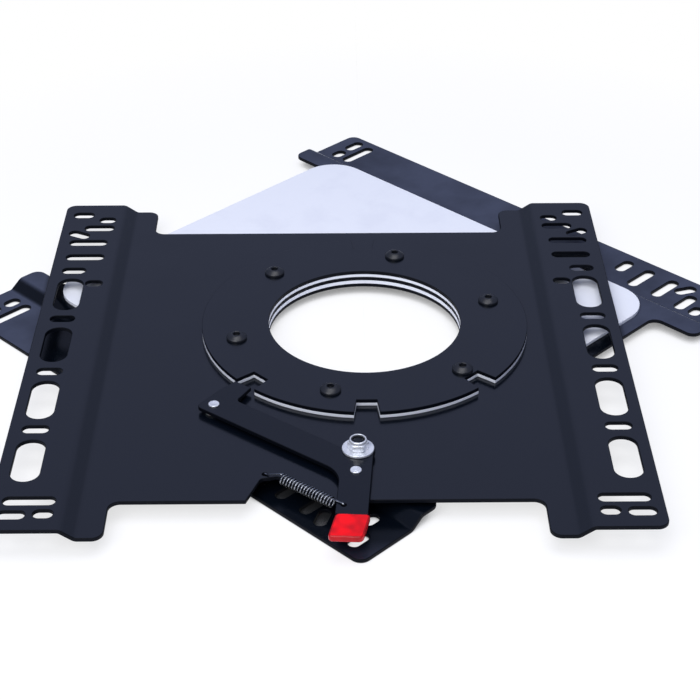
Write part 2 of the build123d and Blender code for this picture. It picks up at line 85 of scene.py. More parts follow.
# Thickness of both plates, the seat plate's turn and the latch handle's bearing at rest.
SHEET = 3.0
SEAT_TURN = math.radians(135.0)
HANDLE_BEARING = math.radians(40.9)
# Vertex layer that marks rolled edges, the angle from which a corner is sharp, and the flat beside an edge.
RIM_ATTRIBUTE = "rim"
SHARP_ANGLE = math.radians(50.0)
FLAT_STRIP = 0.3
# Noise levels between which a finish goes from its dullest to its clearest patch.
PATCH_LEVELS = (0.3, 0.7)


class Body(str, Enum):
    """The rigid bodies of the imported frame."""

    BASE = "base"
    SEAT = "seat_plate"
    LATCH = "latch"


class Slot(str, Enum):
    """The record's material slots."""

    COATED_STEEL = "coated_steel"
    SLIP_PLASTIC = "slip_plastic"
    BLACK_SCREW = "black_screw"
    ZINC_STEEL = "zinc_steel"
    NYLON = "nylon"
    RED_GRIP = "red_grip"
    SPRING_STEEL = "spring_steel"


def to_linear(colour: str) -> tuple[float, float, float, float]:
    """Turn an sRGB hex colour into the linear colour that a shader takes.

    Args:
        colour: The colour as six hex digits, with or without a leading hash.

    Returns:
        Linear red, green, blue and an alpha of one.
    """
    digits = colour.lstrip("#")
    shares = [int(digits[i : i + 2], 16) / 255 for i in (0, 2, 4)]
    linear = [s / 12.92 if s <= 0.04045 else ((s + 0.055) / 1.055) ** 2.4 for s in shares]
    return (*linear, 1.0)


def add_node(
    tree: Tree,
    kind: str,
    inputs: dict[str | int, object] | None = None,
    stops: Sequence[tuple[float, str]] = (),
    **settings: object,
) -> bpy.types.NodeOutputs:
    """Add a shader node, set it up and link what feeds it.

    Args:
        tree: The material's or world's node tree.
        kind: Blender's type name of the node, without its leading ShaderNode.
        inputs: Values for its sockets, by name or number; an output socket is linked instead.
        stops: Two positions with hex colours, for a colour ramp.
        settings: Properties of the node itself.

    Returns:
        The new node's outputs.
    """
    node = tree.nodes.new(f"ShaderNode{kind}")
    for name, value in settings.items():
        setattr(node, name, value)
    for name, value in (inputs or {}).items():
        if isinstance(value, bpy.types.NodeSocket):
            tree.links.new(value, node.inputs[name])
        else:
            node.inputs[name].default_value = value
    for number, (position, colour) in enumerate(stops):
        node.color_ramp.elements[number].position = position
        node.color_ramp.elements[number].color = to_linear(colour)
    return node.outputs


def new_material(name: str) -> bpy.types.Material:
    """Start a material with an empty node tree."""
    made = bpy.data.materials.new(name)
    made.use_nodes = True
    made.node_tree.nodes.clear()
    return made


def per_metre(size_mm: float) -> float:
    """The texture scale at which one pattern cell is the given size."""
    return 1.0 / (size_mm * MM)


@dataclass(frozen=True)
class Finish:
    """A finish of the object: what it is made of and how its surface was made.

    Every finish has soft patches, in which its tone or gloss varies, and a fine relief.

    Args:
        name: Material name, after the real material and process.
        slot: The record's material slot; not used.
        colour: Main colour, sRGB hex.
        roughness: Middle roughness of the surface.
        second_colour: Colour of the patches, of worn places, or of painted sheen.
        patch_mm: Width of a patch.
        patch_noise: Detail and roughness of the patches' noise.
        patch_span: Noise levels between which the second colour gives way to the first.
        gloss_swing: What the dullest and the clearest patch add to the roughness; None keeps it even.
        relief_mm: Width of the relief's cells.
        relief_noise: Detail and roughness of the relief's noise.
        relief_strength: Strength of the relief, from 0 to 1.
        relief_depth: Depth of the relief, in millimetres.
    """

    name: str
    slot: Slot
    colour: str
    roughness: float
    second_colour: str = "#808080"
    patch_mm: float = 10.0
    patch_noise: tuple[float, float] = (1.0, 0.5)
    patch_span: tuple[float, float] = (0.32, 0.58)
    gloss_swing: tuple[float, float] | None = None
    relief_mm: float = 1.2
    relief_noise: tuple[float, float] = (2.0, 0.5)
    relief_strength: float = 0.1
    relief_depth: float = 0.2

    def material(self) -> bpy.types.Material:
        """Give the finish's material, made on first use.

        Returns:
            The Blender material.
        """
        made = bpy.data.materials.get(self.name)
        if made is None:
            made = new_material(self.name)
            made.diffuse_color = to_linear(self.colour)
            add_node(made.node_tree, "OutputMaterial", {"Surface": self.surface(made.node_tree)})
        return made

    def surface(self, tree: Tree) -> Socket:
        """Build the finish's shader: patches in its tone and gloss, with the relief over them.

        Args:
            tree: The material's node tree.

        Returns:
            The shader output.
        """
        place = add_node(tree, "TexCoord")["Object"]
        detail, rough = self.patch_noise
        inputs = {"Vector": place, "Scale": per_metre(self.patch_mm), "Detail": detail, "Roughness": rough}
        patches = add_node(tree, "TexNoise", inputs)["Fac"]
        inputs = {
            "Height": self.relief(tree, place),
            "Strength": self.relief_strength,
            "Distance": self.relief_depth * MM,
        }
        optics = self.optics()
        optics["Normal"] = add_node(tree, "Bump", inputs)["Normal"]
        optics["Base Color"] = self.tone(tree, place, patches)
        optics["Roughness"] = self.roughness
        if self.gloss_swing is not None:
            dull, clear = (self.roughness + change for change in self.gloss_swing)
            inputs = {"Value": patches, "To Min": dull, "To Max": clear}
            inputs["From Min"], inputs["From Max"] = PATCH_LEVELS
            optics["Roughness"] = add_node(tree, "MapRange", inputs)["Result"]
        return add_node(tree, "BsdfPrincipled", optics)["BSDF"]

    def tone(self, tree: Tree, place: Socket, patches: Socket) -> Socket:
        """Colour the surface by its patches.

        Args:
            tree: The material's node tree.
            place: The surface's own coordinates, in metres.
            patches: Soft patches from 0 to 1.

        Returns:
            The colour.
        """
        stops = list(zip(self.patch_span, (self.second_colour, self.colour)))
        return add_node(tree, "ValToRGB", {"Fac": patches}, stops)["Color"]

    def relief(self, tree: Tree, place: Socket) -> Socket:
        """Draw the fine relief.

        Args:
            tree: The material's node tree.
            place: The surface's own coordinates, in metres.

        Returns:
            The relief's height.
        """
        detail, rough = self.relief_noise
        inputs = {"Vector": place, "Scale": per_metre(self.relief_mm), "Detail": detail, "Roughness": rough}
        return add_node(tree, "TexNoise", inputs)["Fac"]

    def optics(self) -> dict[str, object]:
        """The shader's even values; each kind of finish has its own."""
        raise NotImplementedError


@dataclass(frozen=True)
class PowderCoat(Finish):
    """Powder-coated sheet steel, oven cured.

    The eye gets a deep blue-black that takes its tone from what it mirrors, softly, with a faint orange
    peel, patches where the gloss varies, and edges where the coat has drawn thin and looks a little paler.
    The orange peel is drawn about twice its real 0.8 mm so that it shows.

    Args:
        gloss: Specular level of the coat.
    """

    second_colour: str = "#1e2330"
    patch_mm: float = 60.0
    patch_noise: tuple[float, float] = (4.0, 0.55)
    gloss_swing: tuple[float, float] | None = (-0.05, 0.05)
    relief_mm: float = 1.6
    relief_noise: tuple[float, float] = (2.0, 0.4)
    relief_strength: float = 0.12
    gloss: float = 0.5

    def optics(self) -> dict[str, object]:
        """A cured polyester film's index, with the coat's own gloss."""
        return {"IOR": 1.5, "Specular IOR Level": self.gloss}

    def share(self, tree: Tree, place: Socket, patches: Socket) -> Socket:
        """Find the worn share of the coat, along its rolled edges.

        Args:
            tree: The material's node tree.
            place: The surface's own coordinates, in metres.
            patches: Soft patches from 0 to 1.

        Returns:
            The share of the second colour.
        """
        rim = add_node(tree, "Attribute", attribute_name=RIM_ATTRIBUTE)["Fac"]
        return add_node(tree, "Math", {0: rim, 1: patches}, operation="MULTIPLY")["Value"]

    def tone(self, tree: Tree, place: Socket, patches: Socket) -> Socket:
        """Colour the coat by its worn share, or by a share of painted sheen and shade.

        Args:
            tree: The material's node tree.
            place: The surface's own coordinates, in metres.
            patches: Soft patches from 0 to 1.

        Returns:
            The colour.
        """
        inputs = {"Factor": self.share(tree, place, patches)}
        inputs |= {6: to_linear(self.colour), 7: to_linear(self.second_colour)}
        return add_node(tree, "Mix", inputs, data_type="RGBA")[2]


@dataclass(frozen=True)
class SheenShadeCoat(PowderCoat):
    """Powder-coated sheet steel with a pale film painted as sheen where the seat plate leaves it open.

    The eye gets a paler, bluer and flatter black on the open corners, painted as sheen, a deep black
    painted as shade under the seat plate and beside the handle, and a little of the pale film again at the
    corner's tip.

    Args:
        cover_side: Half the width of the seat plate, across the handle's direction, in millimetres.
        cover_middle: The seat plate's middle in that direction.
        cover_back: Where the seat plate's back edge lies, from the swivel axis away from the handle.
        cover_fade: Over what width the pale film sets in beside the cover.
        corner: Where the pale film lies again, from the swivel axis towards the handle.
        corner_fade: Over what width it sets in there.
        corner_share: How much of it lies there.
        sheen_facing: Which way the faces look that the painted sheen lies on: up, and away from the handle,
            towards the light.
        sheen_onset: How far a face must look that way for the first and for all of the pale film.
        thin: Patch level above which the film is whole.
    """

    # Pale bluish colour painted as sheen on the open, lit parts of the lower plate.
    second_colour: str = "#3c4151"
    cover_side: float = 226.0
    cover_middle: float = -28.5
    cover_back: float = 147.0
    cover_fade: float = 6.0
    corner: float = 248.0
    corner_fade: float = 14.0
    corner_share: float = 0.4
    sheen_facing: tuple[float, float, float] = (-0.5, -0.5, 0.707)
    sheen_onset: tuple[float, float] = (0.3, 0.65)
    thin: float = 0.6

    def share(self, tree: Tree, place: Socket, patches: Socket) -> Socket:
        """Find where the pale film is painted: as sheen on the open corners and on faces turned towards the
        light, unevenly; where it is missing, under the seat plate and beside the handle, is painted shade.

        Args:
            tree: The material's node tree.
            place: The surface's own coordinates, in metres.
            patches: Soft patches from 0 to 1.

        Returns:
            The share of the pale colour painted as sheen.
        """
        half = math.sqrt(0.5)
        normal = add_node(tree, "NewGeometry")["Normal"]
        pairs = ((place, (half, half, 0.0)), (place, (-half, half, 0.0)), (normal, self.sheen_facing))
        forward, across, facing = (
            add_node(tree, "VectorMath", {0: vector, 1: way}, operation="DOT_PRODUCT")["Value"]
            for vector, way in pairs
        )
        inputs = {0: across, 1: self.cover_middle * MM}
        off_middle = add_node(tree, "Math", inputs, operation="SUBTRACT")["Value"]
        off_middle = add_node(tree, "Math", {0: off_middle}, operation="ABSOLUTE")["Value"]
        side, back, fade = self.cover_side * MM, -self.cover_back * MM, self.cover_fade * MM
        corner, corner_fade = self.corner * MM, self.corner_fade * MM
        rises = (
            (off_middle, side, side + fade, 1.0),
            (forward, back, back - fade, 1.0),
            (forward, corner, corner + corner_fade, self.corner_share),
            (facing, *self.sheen_onset, 1.0),
            (patches, 0.0, self.thin, 1.0),
        )
        shares = []
        for value, start, end, top in rises:
            inputs = {"Value": value, "From Min": start, "From Max": end, "To Max": top}
            shares.append(add_node(tree, "MapRange", inputs)["Result"])
        # Painted sheen where the plate lies open and faces the light; painted shade under the seat plate
        # and beside the handle.
        share, behind, at_corner, toward_light, uneven = shares
        steps = (("MAXIMUM", behind), ("MAXIMUM", at_corner), ("MULTIPLY", toward_light), ("MULTIPLY", uneven))
        for operation, other in steps:
            share = add_node(tree, "Math", {0: share, 1: other}, operation=operation)["Value"]
        return share


@dataclass(frozen=True)
class SlipSheetPlastic(Finish):
    """Acetal sheet, extruded and skived smooth.

    The eye gets a cool bluish white with a soft sheen, fine skiving lines and a few grey scuffs. The
    skiving lines are drawn at twice their real spacing so that they show.
    """

    second_colour: str = "#dfe1e6"
    patch_mm: float = 35.0
    patch_noise: tuple[float, float] = (6.0, 0.6)
    patch_span: tuple[float, float] = (0.32, 0.5)
    relief_mm: float = 2.0
    relief_strength: float = 0.05
    relief_depth: float = 0.1

    def optics(self) -> dict[str, object]:
        """Acetal's index, with a little light that bleeds through."""
        return {"IOR": 1.48, "Subsurface Weight": 0.08, "Subsurface Radius": (0.002, 0.002, 0.002)}

    def relief(self, tree: Tree, place: Socket) -> Socket:
        """Draw the skiving lines.

        Args:
            tree: The material's node tree.
            place: The surface's own coordinates, in metres.

        Returns:
            The relief's height.
        """
        lines_per_unit = 20.0
        scale = per_metre(self.relief_mm) / lines_per_unit
        inputs = {"Vector": place, "Scale": scale, "Distortion": 1.5, "Detail": 2.0}
        return add_node(tree, "TexWave", inputs, bands_direction="X")["Fac"]


@dataclass(frozen=True)
class PlatedSteel(Finish):
    """Turned or drawn steel with a metallic plating or oxide.

    The eye gets a metal whose gloss breaks up into fine tool marks and small cloudy patches. The tool marks
    are drawn coarser than the real 0.1 mm so that they show.

    Args:
        metallic: Share of bare metal gloss; a passivated plating scatters the rest.
    """

    patch_mm: float = 6.0
    patch_noise: tuple[float, float] = (5.0, 0.6)
    patch_span: tuple[float, float] = (0.3, 0.55)
    gloss_swing: tuple[float, float] | None = (0.08, -0.04)
    relief_mm: float = 0.5
    relief_noise: tuple[float, float] = (3.0, 0.5)
    relief_strength: float = 0.15
    relief_depth: float = 0.1
    metallic: float = 1.0

    def optics(self) -> dict[str, object]:
        """The metal's share of the gloss."""
        return {"Metallic": self.metallic}


@dataclass(frozen=True)
class MouldedPolymer(Finish):
    """Dip-moulded vinyl or moulded nylon.

    The eye gets a full, even colour with a soft wide highlight, slight unevenness from the mould and
    darker patches at random. The dimples are drawn coarser than the real 0.5 mm so that they
    show.

    Args:
        gloss: Specular level, less where a matt bloom lies on the surface.
        subsurface: Share of light that scatters below the surface.
    """

    second_colour: str = "#c00812"
    gloss: float = 0.5
    subsurface: float = 0.05

    def optics(self) -> dict[str, object]:
        """Vinyl's index, with light that bleeds through, red the furthest."""
        bleed = {"Subsurface Weight": self.subsurface, "Subsurface Radius": (0.003, 0.001, 0.001)}
        return {"IOR": 1.53, "Specular IOR Level": self.gloss, **bleed}


POWDER_COAT = PowderCoat("steel_powder_coated_satin_black", Slot.COATED_STEEL, "#040810", 0.2)
# Lower plate: pale film painted as sheen where it lies open, deep black painted as shade under the seat
# plate and beside the handle.
SHEEN_SHADE_COAT = SheenShadeCoat("steel_powder_coated_dusty", Slot.COATED_STEEL, "#04080f", 0.22, gloss=0.16)
LEVER_COAT = PowderCoat("steel_electrocoated_black", Slot.COATED_STEEL, "#040810", 0.2, gloss=0.36)
CUT_EDGE = PowderCoat(
    "steel_powder_coated_cut_edge", Slot.COATED_STEEL, "#04060b", 0.5, "#0b0e15", gloss=0.08
)
SLIP_ACETAL = SlipSheetPlastic("acetal_skived_white", Slot.SLIP_PLASTIC, "#e4e6ea", 0.42)
BLACK_OXIDE = PlatedSteel(
    "steel_black_oxide_cold_headed", Slot.BLACK_SCREW, "#0f1218", 0.38, "#0a0c11", metallic=0.0
)
BRIGHT_ZINC = PlatedSteel(
    "steel_zinc_plated_bright", Slot.ZINC_STEEL, "#e9ebee", 0.24, "#c3c7cd", metallic=0.55
)
# Dark grey stud, painted dark as the shade in the lock nut's hollow.
DARK_STUD = PlatedSteel("steel_phosphated_turned", Slot.ZINC_STEEL, "#3a3d42", 0.42, "#26282c")
DRAWN_WIRE = PlatedSteel("spring_steel_drawn_wire", Slot.SPRING_STEEL, "#999ca0", 0.22, "#484b4f", 3.0)
DIPPED_VINYL = MouldedPolymer("vinyl_dip_moulded_red", Slot.RED_GRIP, "#ec0712", 0.24, gloss=0.2)
# Darker red on the grip's rolled edges and sides: painted shade of its walls.
VINYL_SHADED_SIDES = MouldedPolymer(
    "vinyl_dip_moulded_red_edge", Slot.RED_GRIP, "#b3060e", 0.22, "#8c050b", gloss=0.22
)
NATURAL_NYLON = MouldedPolymer(
    "nylon_moulded_natural", Slot.NYLON, "#e4e3da", 0.45, "#c9c7ba", subsurface=0.15
)
# Dark grey insert, painted dark as the shade in the lock nut's hollow.
DARK_NYLON = MouldedPolymer("nylon_moulded_grey", Slot.NYLON, "#1f2126", 0.5, "#15171b", subsurface=0.0)


@dataclass
class Draft:
    """Collects the vertices and faces of one mesh, in millimetres."""

    points: list[Vector] = field(default_factory=list)
    rims: list[float] = field(default_factory=list)
    faces: list[tuple[int, ...]] = field(default_factory=list)
    edge_faces: set[int] = field(default_factory=set)

    def loop(self, points: Iterable[Vector], rim: float = 0.0) -> list[int]:
        """Add a row of vertices.

        Args:
            points: Their places.
            rim: How far they belong to a rolled edge, from 0 to 1.

        Returns:
            The new vertices' numbers.
        """
        first = len(self.points)
        self.points.extend(Vector(p) for p in points)
        self.rims.extend([rim] * (len(self.points) - first))
        return list(range(first, len(self.points)))

    def bridge(self, lower: Sequence[int], upper: Sequence[int], closed: bool = True) -> None:
        """Join two rows of equal length with a band of quads.

        Args:
            lower: The first row; the band faces right when the row runs forward and upper is above it.
            upper: The second row.
            closed: Whether the rows run round to their start.
        """
        count = len(lower)
        for i in range(count if closed else count - 1):
            j = (i + 1) % count
            self.faces.append((lower[i], lower[j], upper[j], upper[i]))

    def pole(self, row: Sequence[int], tip: Vector, upward: bool) -> None:
        """Close a row with a fan of triangles to one point.

        Args:
            row: The row to close.
            tip: The fan's middle.
            upward: Whether the fan faces up.
        """
        middle = self.loop([tip])[0]
        count = len(row)
        for i in range(count):
            a, b = row[i], row[(i + 1) % count]
            self.faces.append((a, b, middle) if upward else (b, a, middle))

    def mesh(
        self,
        name: str,
        place: Matrix | None = None,
        cuts: Iterable[Plane] = (),
        shape: Callable[[Vector], Vector] | None = None,
    ) -> bpy.types.Mesh:
        """Turn the draft into a Blender mesh in metres.

        Args:
            name: The mesh's name.
            place: Where the draft's own axes stand in the frame, in millimetres.
            cuts: Planes that divide its faces, each a point and a normal.
            shape: A last move for every vertex, in the draft's axes.

        Returns:
            The mesh, smooth with sharp corners marked.
        """
        built = bmesh.new()
        rim_layer = built.verts.layers.float.new(RIM_ATTRIBUTE)
        vertices = []
        for point, rim in zip(self.points, self.rims):
            vertex = built.verts.new(point)
            vertex[rim_layer] = rim
            vertices.append(vertex)
        for number, face in enumerate(self.faces):
            made = built.faces.new([vertices[i] for i in face])
            made.material_index = 1 if number in self.edge_faces else 0
        for origin, normal in cuts:
            everything = built.verts[:] + built.edges[:] + built.faces[:]
            bmesh.ops.bisect_plane(built, geom=everything, dist=1e-5, plane_co=origin, plane_no=normal)
        if shape is not None:
            for vertex in built.verts:
                vertex.co = shape(vertex.co)
        built.transform(Matrix.Scale(MM, 4) @ (place or Matrix.Identity(4)))
        built.normal_update()
        mesh = bpy.data.meshes.new(name)
        built.to_mesh(mesh)
        built.free()
        mesh.polygons.foreach_set("use_smooth", [True] * len(mesh.polygons))
        mesh.set_sharp_from_angle(angle=SHARP_ANGLE)
        return mesh


def node_outlines(node: str) -> list[Outline]:
    """Read the plan outlines of a flat CAD node from its upward faces.

    Args:
        node: The node's name.

    Returns:
        Closed outlines in millimetres, with the material on their left.
    """
    mesh = bpy.data.objects[node].data
    keys = [tuple(round(c / MM, 3) for c in vertex.co) for vertex in mesh.vertices]
    directed: set[tuple[tuple[float, ...], tuple[float, ...]]] = set()
    for polygon in mesh.polygons:
        if polygon.normal.z < 0.3:
            continue
        corners = [keys[i] for i in polygon.vertices]
        for a, b in zip(corners, corners[1:] + corners[:1]):
            if a != b:
                directed.add((a, b))
    following = {a: b for a, b in directed if (b, a) not in directed}
    outlines = []
    while following:
        start, here = next(iter(sorted(following.items())))
        outline = [start]
        del following[start]
        while here != start:
            outline.append(here)
            here = following.pop(here)
        outlines.append([Vector((p[0], p[1], 0.0)) for p in outline])
    return outlines


def inset(outline: Outline, distance: float) -> Outline:
    """Move an outline towards its material by a distance, with mitred corners.

    Args:
        outline: The closed outline, with the material on its left.
        distance: How far to move it, in millimetres.

    Returns:
        The moved outline, point for point.
    """
    moved = []
    count = len(outline)
    for i, point in enumerate(outline):
        before = (point - outline[i - 1]).normalized()
        after = (outline[(i + 1) % count] - point).normalized()
        left_before = Vector((-before.y, before.x, 0.0))
        left_after = Vector((-after.y, after.x, 0.0))
        middle = left_before + left_after
        share = max(middle.dot(left_after), 0.4)
        moved.append(point + middle * (distance / share))
    return moved


def inside(x: float, y: float, outlines: Sequence[Outline]) -> bool:
    """Tell whether a point lies in the material between outlines.

    Args:
        x: The point's place.
        y: The point's place.
        outlines: Closed outlines of one flat piece.

    Returns:
        True inside the material.
    """
    crossings = 0
    for outline in outlines:
        for a, b in zip(outline, outline[1:] + outline[:1]):
            if (a.y > y) != (b.y > y) and x < a.x + (y - a.y) * (b.x - a.x) / (b.y - a.y):
                crossings += 1
    return crossings % 2 == 1


def ease_corner(outline: Outline, near: Vector, radius: float, steps: int = 12) -> Outline:
    """Give the corner nearest to a place a wider bend.

    Args:
        outline: A closed outline.
        near: A place near the corner, in millimetres.
        radius: Radius of the new bend.
        steps: Number of facets in it.

    Returns:
        The outline with the new bend; a hole without long sides stays as it was.
    """
    count = len(outline)
    if max((outline[i] - outline[i - 1]).length for i in range(count)) < radius:
        return outline
    middle = min(range(count), key=lambda i: (outline[i] - near).length)
    first = last = middle
    while (outline[first] - outline[first - 1]).length < radius:
        first -= 1
    while (outline[(last + 1) % count] - outline[last % count]).length < radius:
        last += 1
    start, end = outline[first], outline[last % count]
    into = (start - outline[first - 1]).normalized()
    out = (outline[(last + 1) % count] - end).normalized()
    turn = into.cross(out).z
    corner = start + into * ((end - start).cross(out).z / turn)
    sweep = math.atan2(turn, into.dot(out))
    reach = radius * math.tan(abs(sweep) / 2)
    side = Vector((-into.y, into.x, 0.0)) * math.copysign(1.0, sweep)
    centre = corner - into * reach + side * radius
    bend = []
    for step in range(steps + 1):
        spoke = Matrix.Rotation(sweep * step / steps, 3, "Z") @ (-side * radius)
        bend.append(centre + spoke)
    kept = [outline[i % count] for i in range(last + 1, first + count)]
    return bend + kept


def cap_triangles(outlines: Sequence[Outline]) -> list[tuple[int, int, int]]:
    """Fill flat outlines with triangles that leave their holes open.

    Args:
        outlines: Closed outlines, numbered one after the other.

    Returns:
        Triangles of point numbers, facing up.
    """
    points: list[Vector] = []
    edges: list[tuple[int, int]] = []
    for outline in outlines:
        first, count = len(points), len(outline)
        points.extend(p.to_2d() for p in outline)
        edges.extend((first + i, first + (i + 1) % count) for i in range(count))
    made, _, faces, sources, _, _ = delaunay_2d_cdt(points, edges, [], 1, 1e-6)
    triangles = []
    for face in faces:
        corners = [sources[i][0] for i in face if sources[i]]
        middle = sum((made[i] for i in face), Vector((0.0, 0.0))) / 3
        if len(corners) == 3 and inside(middle.x, middle.y, outlines):
            triangles.append(tuple(corners))
    return triangles


def add_slab(
    draft: Draft, outlines: Sequence[Outline], low: float, high: float, radius: float, steps: int = 3
) -> None:
    """Add a flat piece with rolled edges to a draft.

    A narrow flat strip runs beside each rolled edge, so that the flat faces shade evenly.

    Args:
        draft: The draft to add to.
        outlines: Plan outlines, with the material on their left.
        low: Level of the underside.
        high: Level of the top.
        radius: Radius of the rolled edges.
        steps: Number of facets in each rolled edge.
    """
    angles = [math.pi / 2 * k / steps for k in range(steps + 1)]
    rows = [(radius + FLAT_STRIP, low, 0.0)]
    for angle in angles:
        rows.append((radius * (1 - math.sin(angle)), low + radius * (1 - math.cos(angle)), math.sin(angle)))
    rows += [(distance, high - (level - low), rim) for distance, level, rim in reversed(rows)]
    bottoms: list[int] = []
    tops: list[int] = []
    for outline in outlines:
        rings = []
        for distance, level, rim in rows:
            points = [Vector((p.x, p.y, level)) for p in inset(outline, distance)]
            rings.append(draft.loop(points, rim))
        for number, (lower, upper) in enumerate(zip(rings, rings[1:])):
            first = len(draft.faces)
            draft.bridge(lower, upper)
            if 0 < number < len(rings) - 2:
                draft.edge_faces.update(range(first, len(draft.faces)))
        bottoms.extend(rings[0])
        tops.extend(rings[-1])
    for a, b, c in cap_triangles([inset(outline, radius + FLAT_STRIP) for outline in outlines]):
        draft.faces.append((tops[a], tops[b], tops[c]))
        draft.faces.append((bottoms[c], bottoms[b], bottoms[a]))


@dataclass(frozen=True)
class Ring:
    """One ring of a turned or hexagonal piece.

    Args:
        radius: Radius of the circle, or half the width across the hexagon's flats.
        height: Level of the ring, in millimetres.
        hexagon: 0 for a circle, 1 for a hexagon.
        droop: How far the hexagon's corners drop for each millimetre they reach past the flats.
    """

    radius: float
    height: float
    hexagon: float = 0.0
    droop: float = 0.0

    def points(self, place: Matrix, segments: int) -> list[Vector]:
        """Place the ring's points.

        Args:
            place: Where the piece's axes stand.
            segments: Number of points, a multiple of twelve.

        Returns:
            The points, anticlockwise seen from above.
        """
        made = []
        for i in range(segments):
            angle = 2 * math.pi * i / segments
            off_flat = (angle + math.pi / 6) % (math.pi / 3) - math.pi / 6
            off_flat = abs(off_flat) - math.pi / 6
            reach = self.radius * (1 + self.hexagon * (1 / math.cos(off_flat) - 1))
            level = self.height - self.droop * (reach - self.radius)
            made.append(place @ Vector((reach * math.cos(angle), reach * math.sin(angle), level)))
        return made


def washer_rings(outer: float, inner: float, low: float, high: float, edge: float) -> list[Ring]:
    """List the rings of a flat washer with rounded edges.

    Args:
        outer: Outside radius.
        inner: Bore radius.
        low: Level of the underside.
        high: Level of the top.
        edge: Radius of the edges.

    Returns:
        The closed profile's rings.
    """
    bulge = edge * 0.3
    return [
        Ring(inner + edge, low),
        Ring(outer - edge, low),
        Ring(outer - bulge, low + bulge),
        Ring(outer, low + edge),
        Ring(outer, high - edge),
        Ring(outer - bulge, high - bulge),
        Ring(outer - edge, high),
        Ring(inner + edge, high),
        Ring(inner, high - edge),
        Ring(inner, low + edge),
    ]


def levels(node: str) -> tuple[float, float]:
    """Lowest and highest level of a node, in millimetres."""
    low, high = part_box(node)
    return low.z / MM, high.z / MM


def half_width(node: str) -> float:
    """Half the width of a node's box, in millimetres."""
    low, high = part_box(node)
    return (high.x - low.x) / 2 / MM


def turn_about_z(angle: float, x: float = 0.0, y: float = 0.0, z: float = 0.0) -> Matrix:
    """A turn about a vertical axis, then a move to x, y, z."""
    return Matrix.Translation((x, y, z)) @ Matrix.Rotation(angle, 4, "Z")


def place_scene_object(name: str, data: bpy.types.ID) -> Piece:
    """Link a new object for a mesh, lamp or camera into the scene."""
    made = bpy.data.objects.new(name, data)
    bpy.context.scene.collection.objects.link(made)
    return made


def show(
    mesh: bpy.types.Mesh, node: str, body: Body | None, finish: Finish, edge: Finish | None = None
) -> Piece:
    """Put a mesh in the scene in place of its CAD node.

    Args:
        mesh: The finished mesh, in the frame's metres.
        node: The CAD node it stands for.
        body: The body it rides on; None leaves it on no body.
        finish: Its finish.
        edge: Finish of its cut edges, where they have their own; on the grip, a darker red painted as shade
            on its edges and sides.

    Returns:
        The new object.
    """
    made = place_scene_object(mesh.name, mesh)
    mesh.materials.append(finish.material())
    if edge is None:
        mesh.polygons.foreach_set("material_index", [0] * len(mesh.polygons))
    else:
        mesh.materials.append(edge.material())
    if body is not None:
        weighted = made.modifiers.new("even_normals", "WEIGHTED_NORMAL")
        weighted.keep_sharp = True
        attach(made, body.value)
    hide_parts(node)
    return made


def turned_piece(
    name: str,
    node: str,
    body: Body,
    finish: Finish,
    rings: Sequence[Ring],
    places: Sequence[Matrix],
    ends: tuple[float, float] | None = None,
    segments: int = 48,
) -> Piece:
    """Make a turned piece, or a set of like ones.

    Args:
        name: The piece's name.
        node: The CAD node it stands for.
        body: The body it rides on.
        finish: Its finish.
        rings: Rings from the underside up the outside and down any bore.
        places: Where the axes of each copy stand.
        ends: Levels of the middles of a closed underside and top; None runs the profile round to its start.
        segments: Number of points in a ring.

    Returns:
        The dressed piece.
    """
    draft = Draft()
    for place in places:
        rows = [draft.loop(ring.points(place, segments)) for ring in rings]
        for lower, upper in zip(rows, rows[1:]):
            draft.bridge(lower, upper)
        if ends is None:
            draft.bridge(rows[-1], rows[0])
        else:
            base, tip = (place @ Vector((0.0, 0.0, level)) for level in ends)
            draft.pole(rows[0], base, upward=False)
            draft.pole(rows[-1], tip, upward=True)
    return show(draft.mesh(name), node, body, finish)


def flat_piece(
    node: str,
    body: Body,
    finish: Finish,
    edge: float,
    cut: Finish | None = None,
    eased: tuple[Vector, float] | None = None,
) -> Piece:
    """Make a flat cut piece with rolled edges from its node's outline.

    Args:
        node: Its CAD node.
        body: Its body.
        finish: Its finish.
        edge: Radius of its edges.
        cut: Finish of its cut edges, where they have their own.
        eased: A place in plan whose inner corner gets a wider bend, and that bend's radius.

    Returns:
        The dressed piece.
    """
    outlines = node_outlines(node)
    if eased is not None:
        outlines = [ease_corner(outline, *eased) for outline in outlines]
    draft = Draft()
    add_slab(draft, outlines, *levels(node), edge)
    return show(draft.mesh(f"{node}_plate"), node, body, finish, cut)


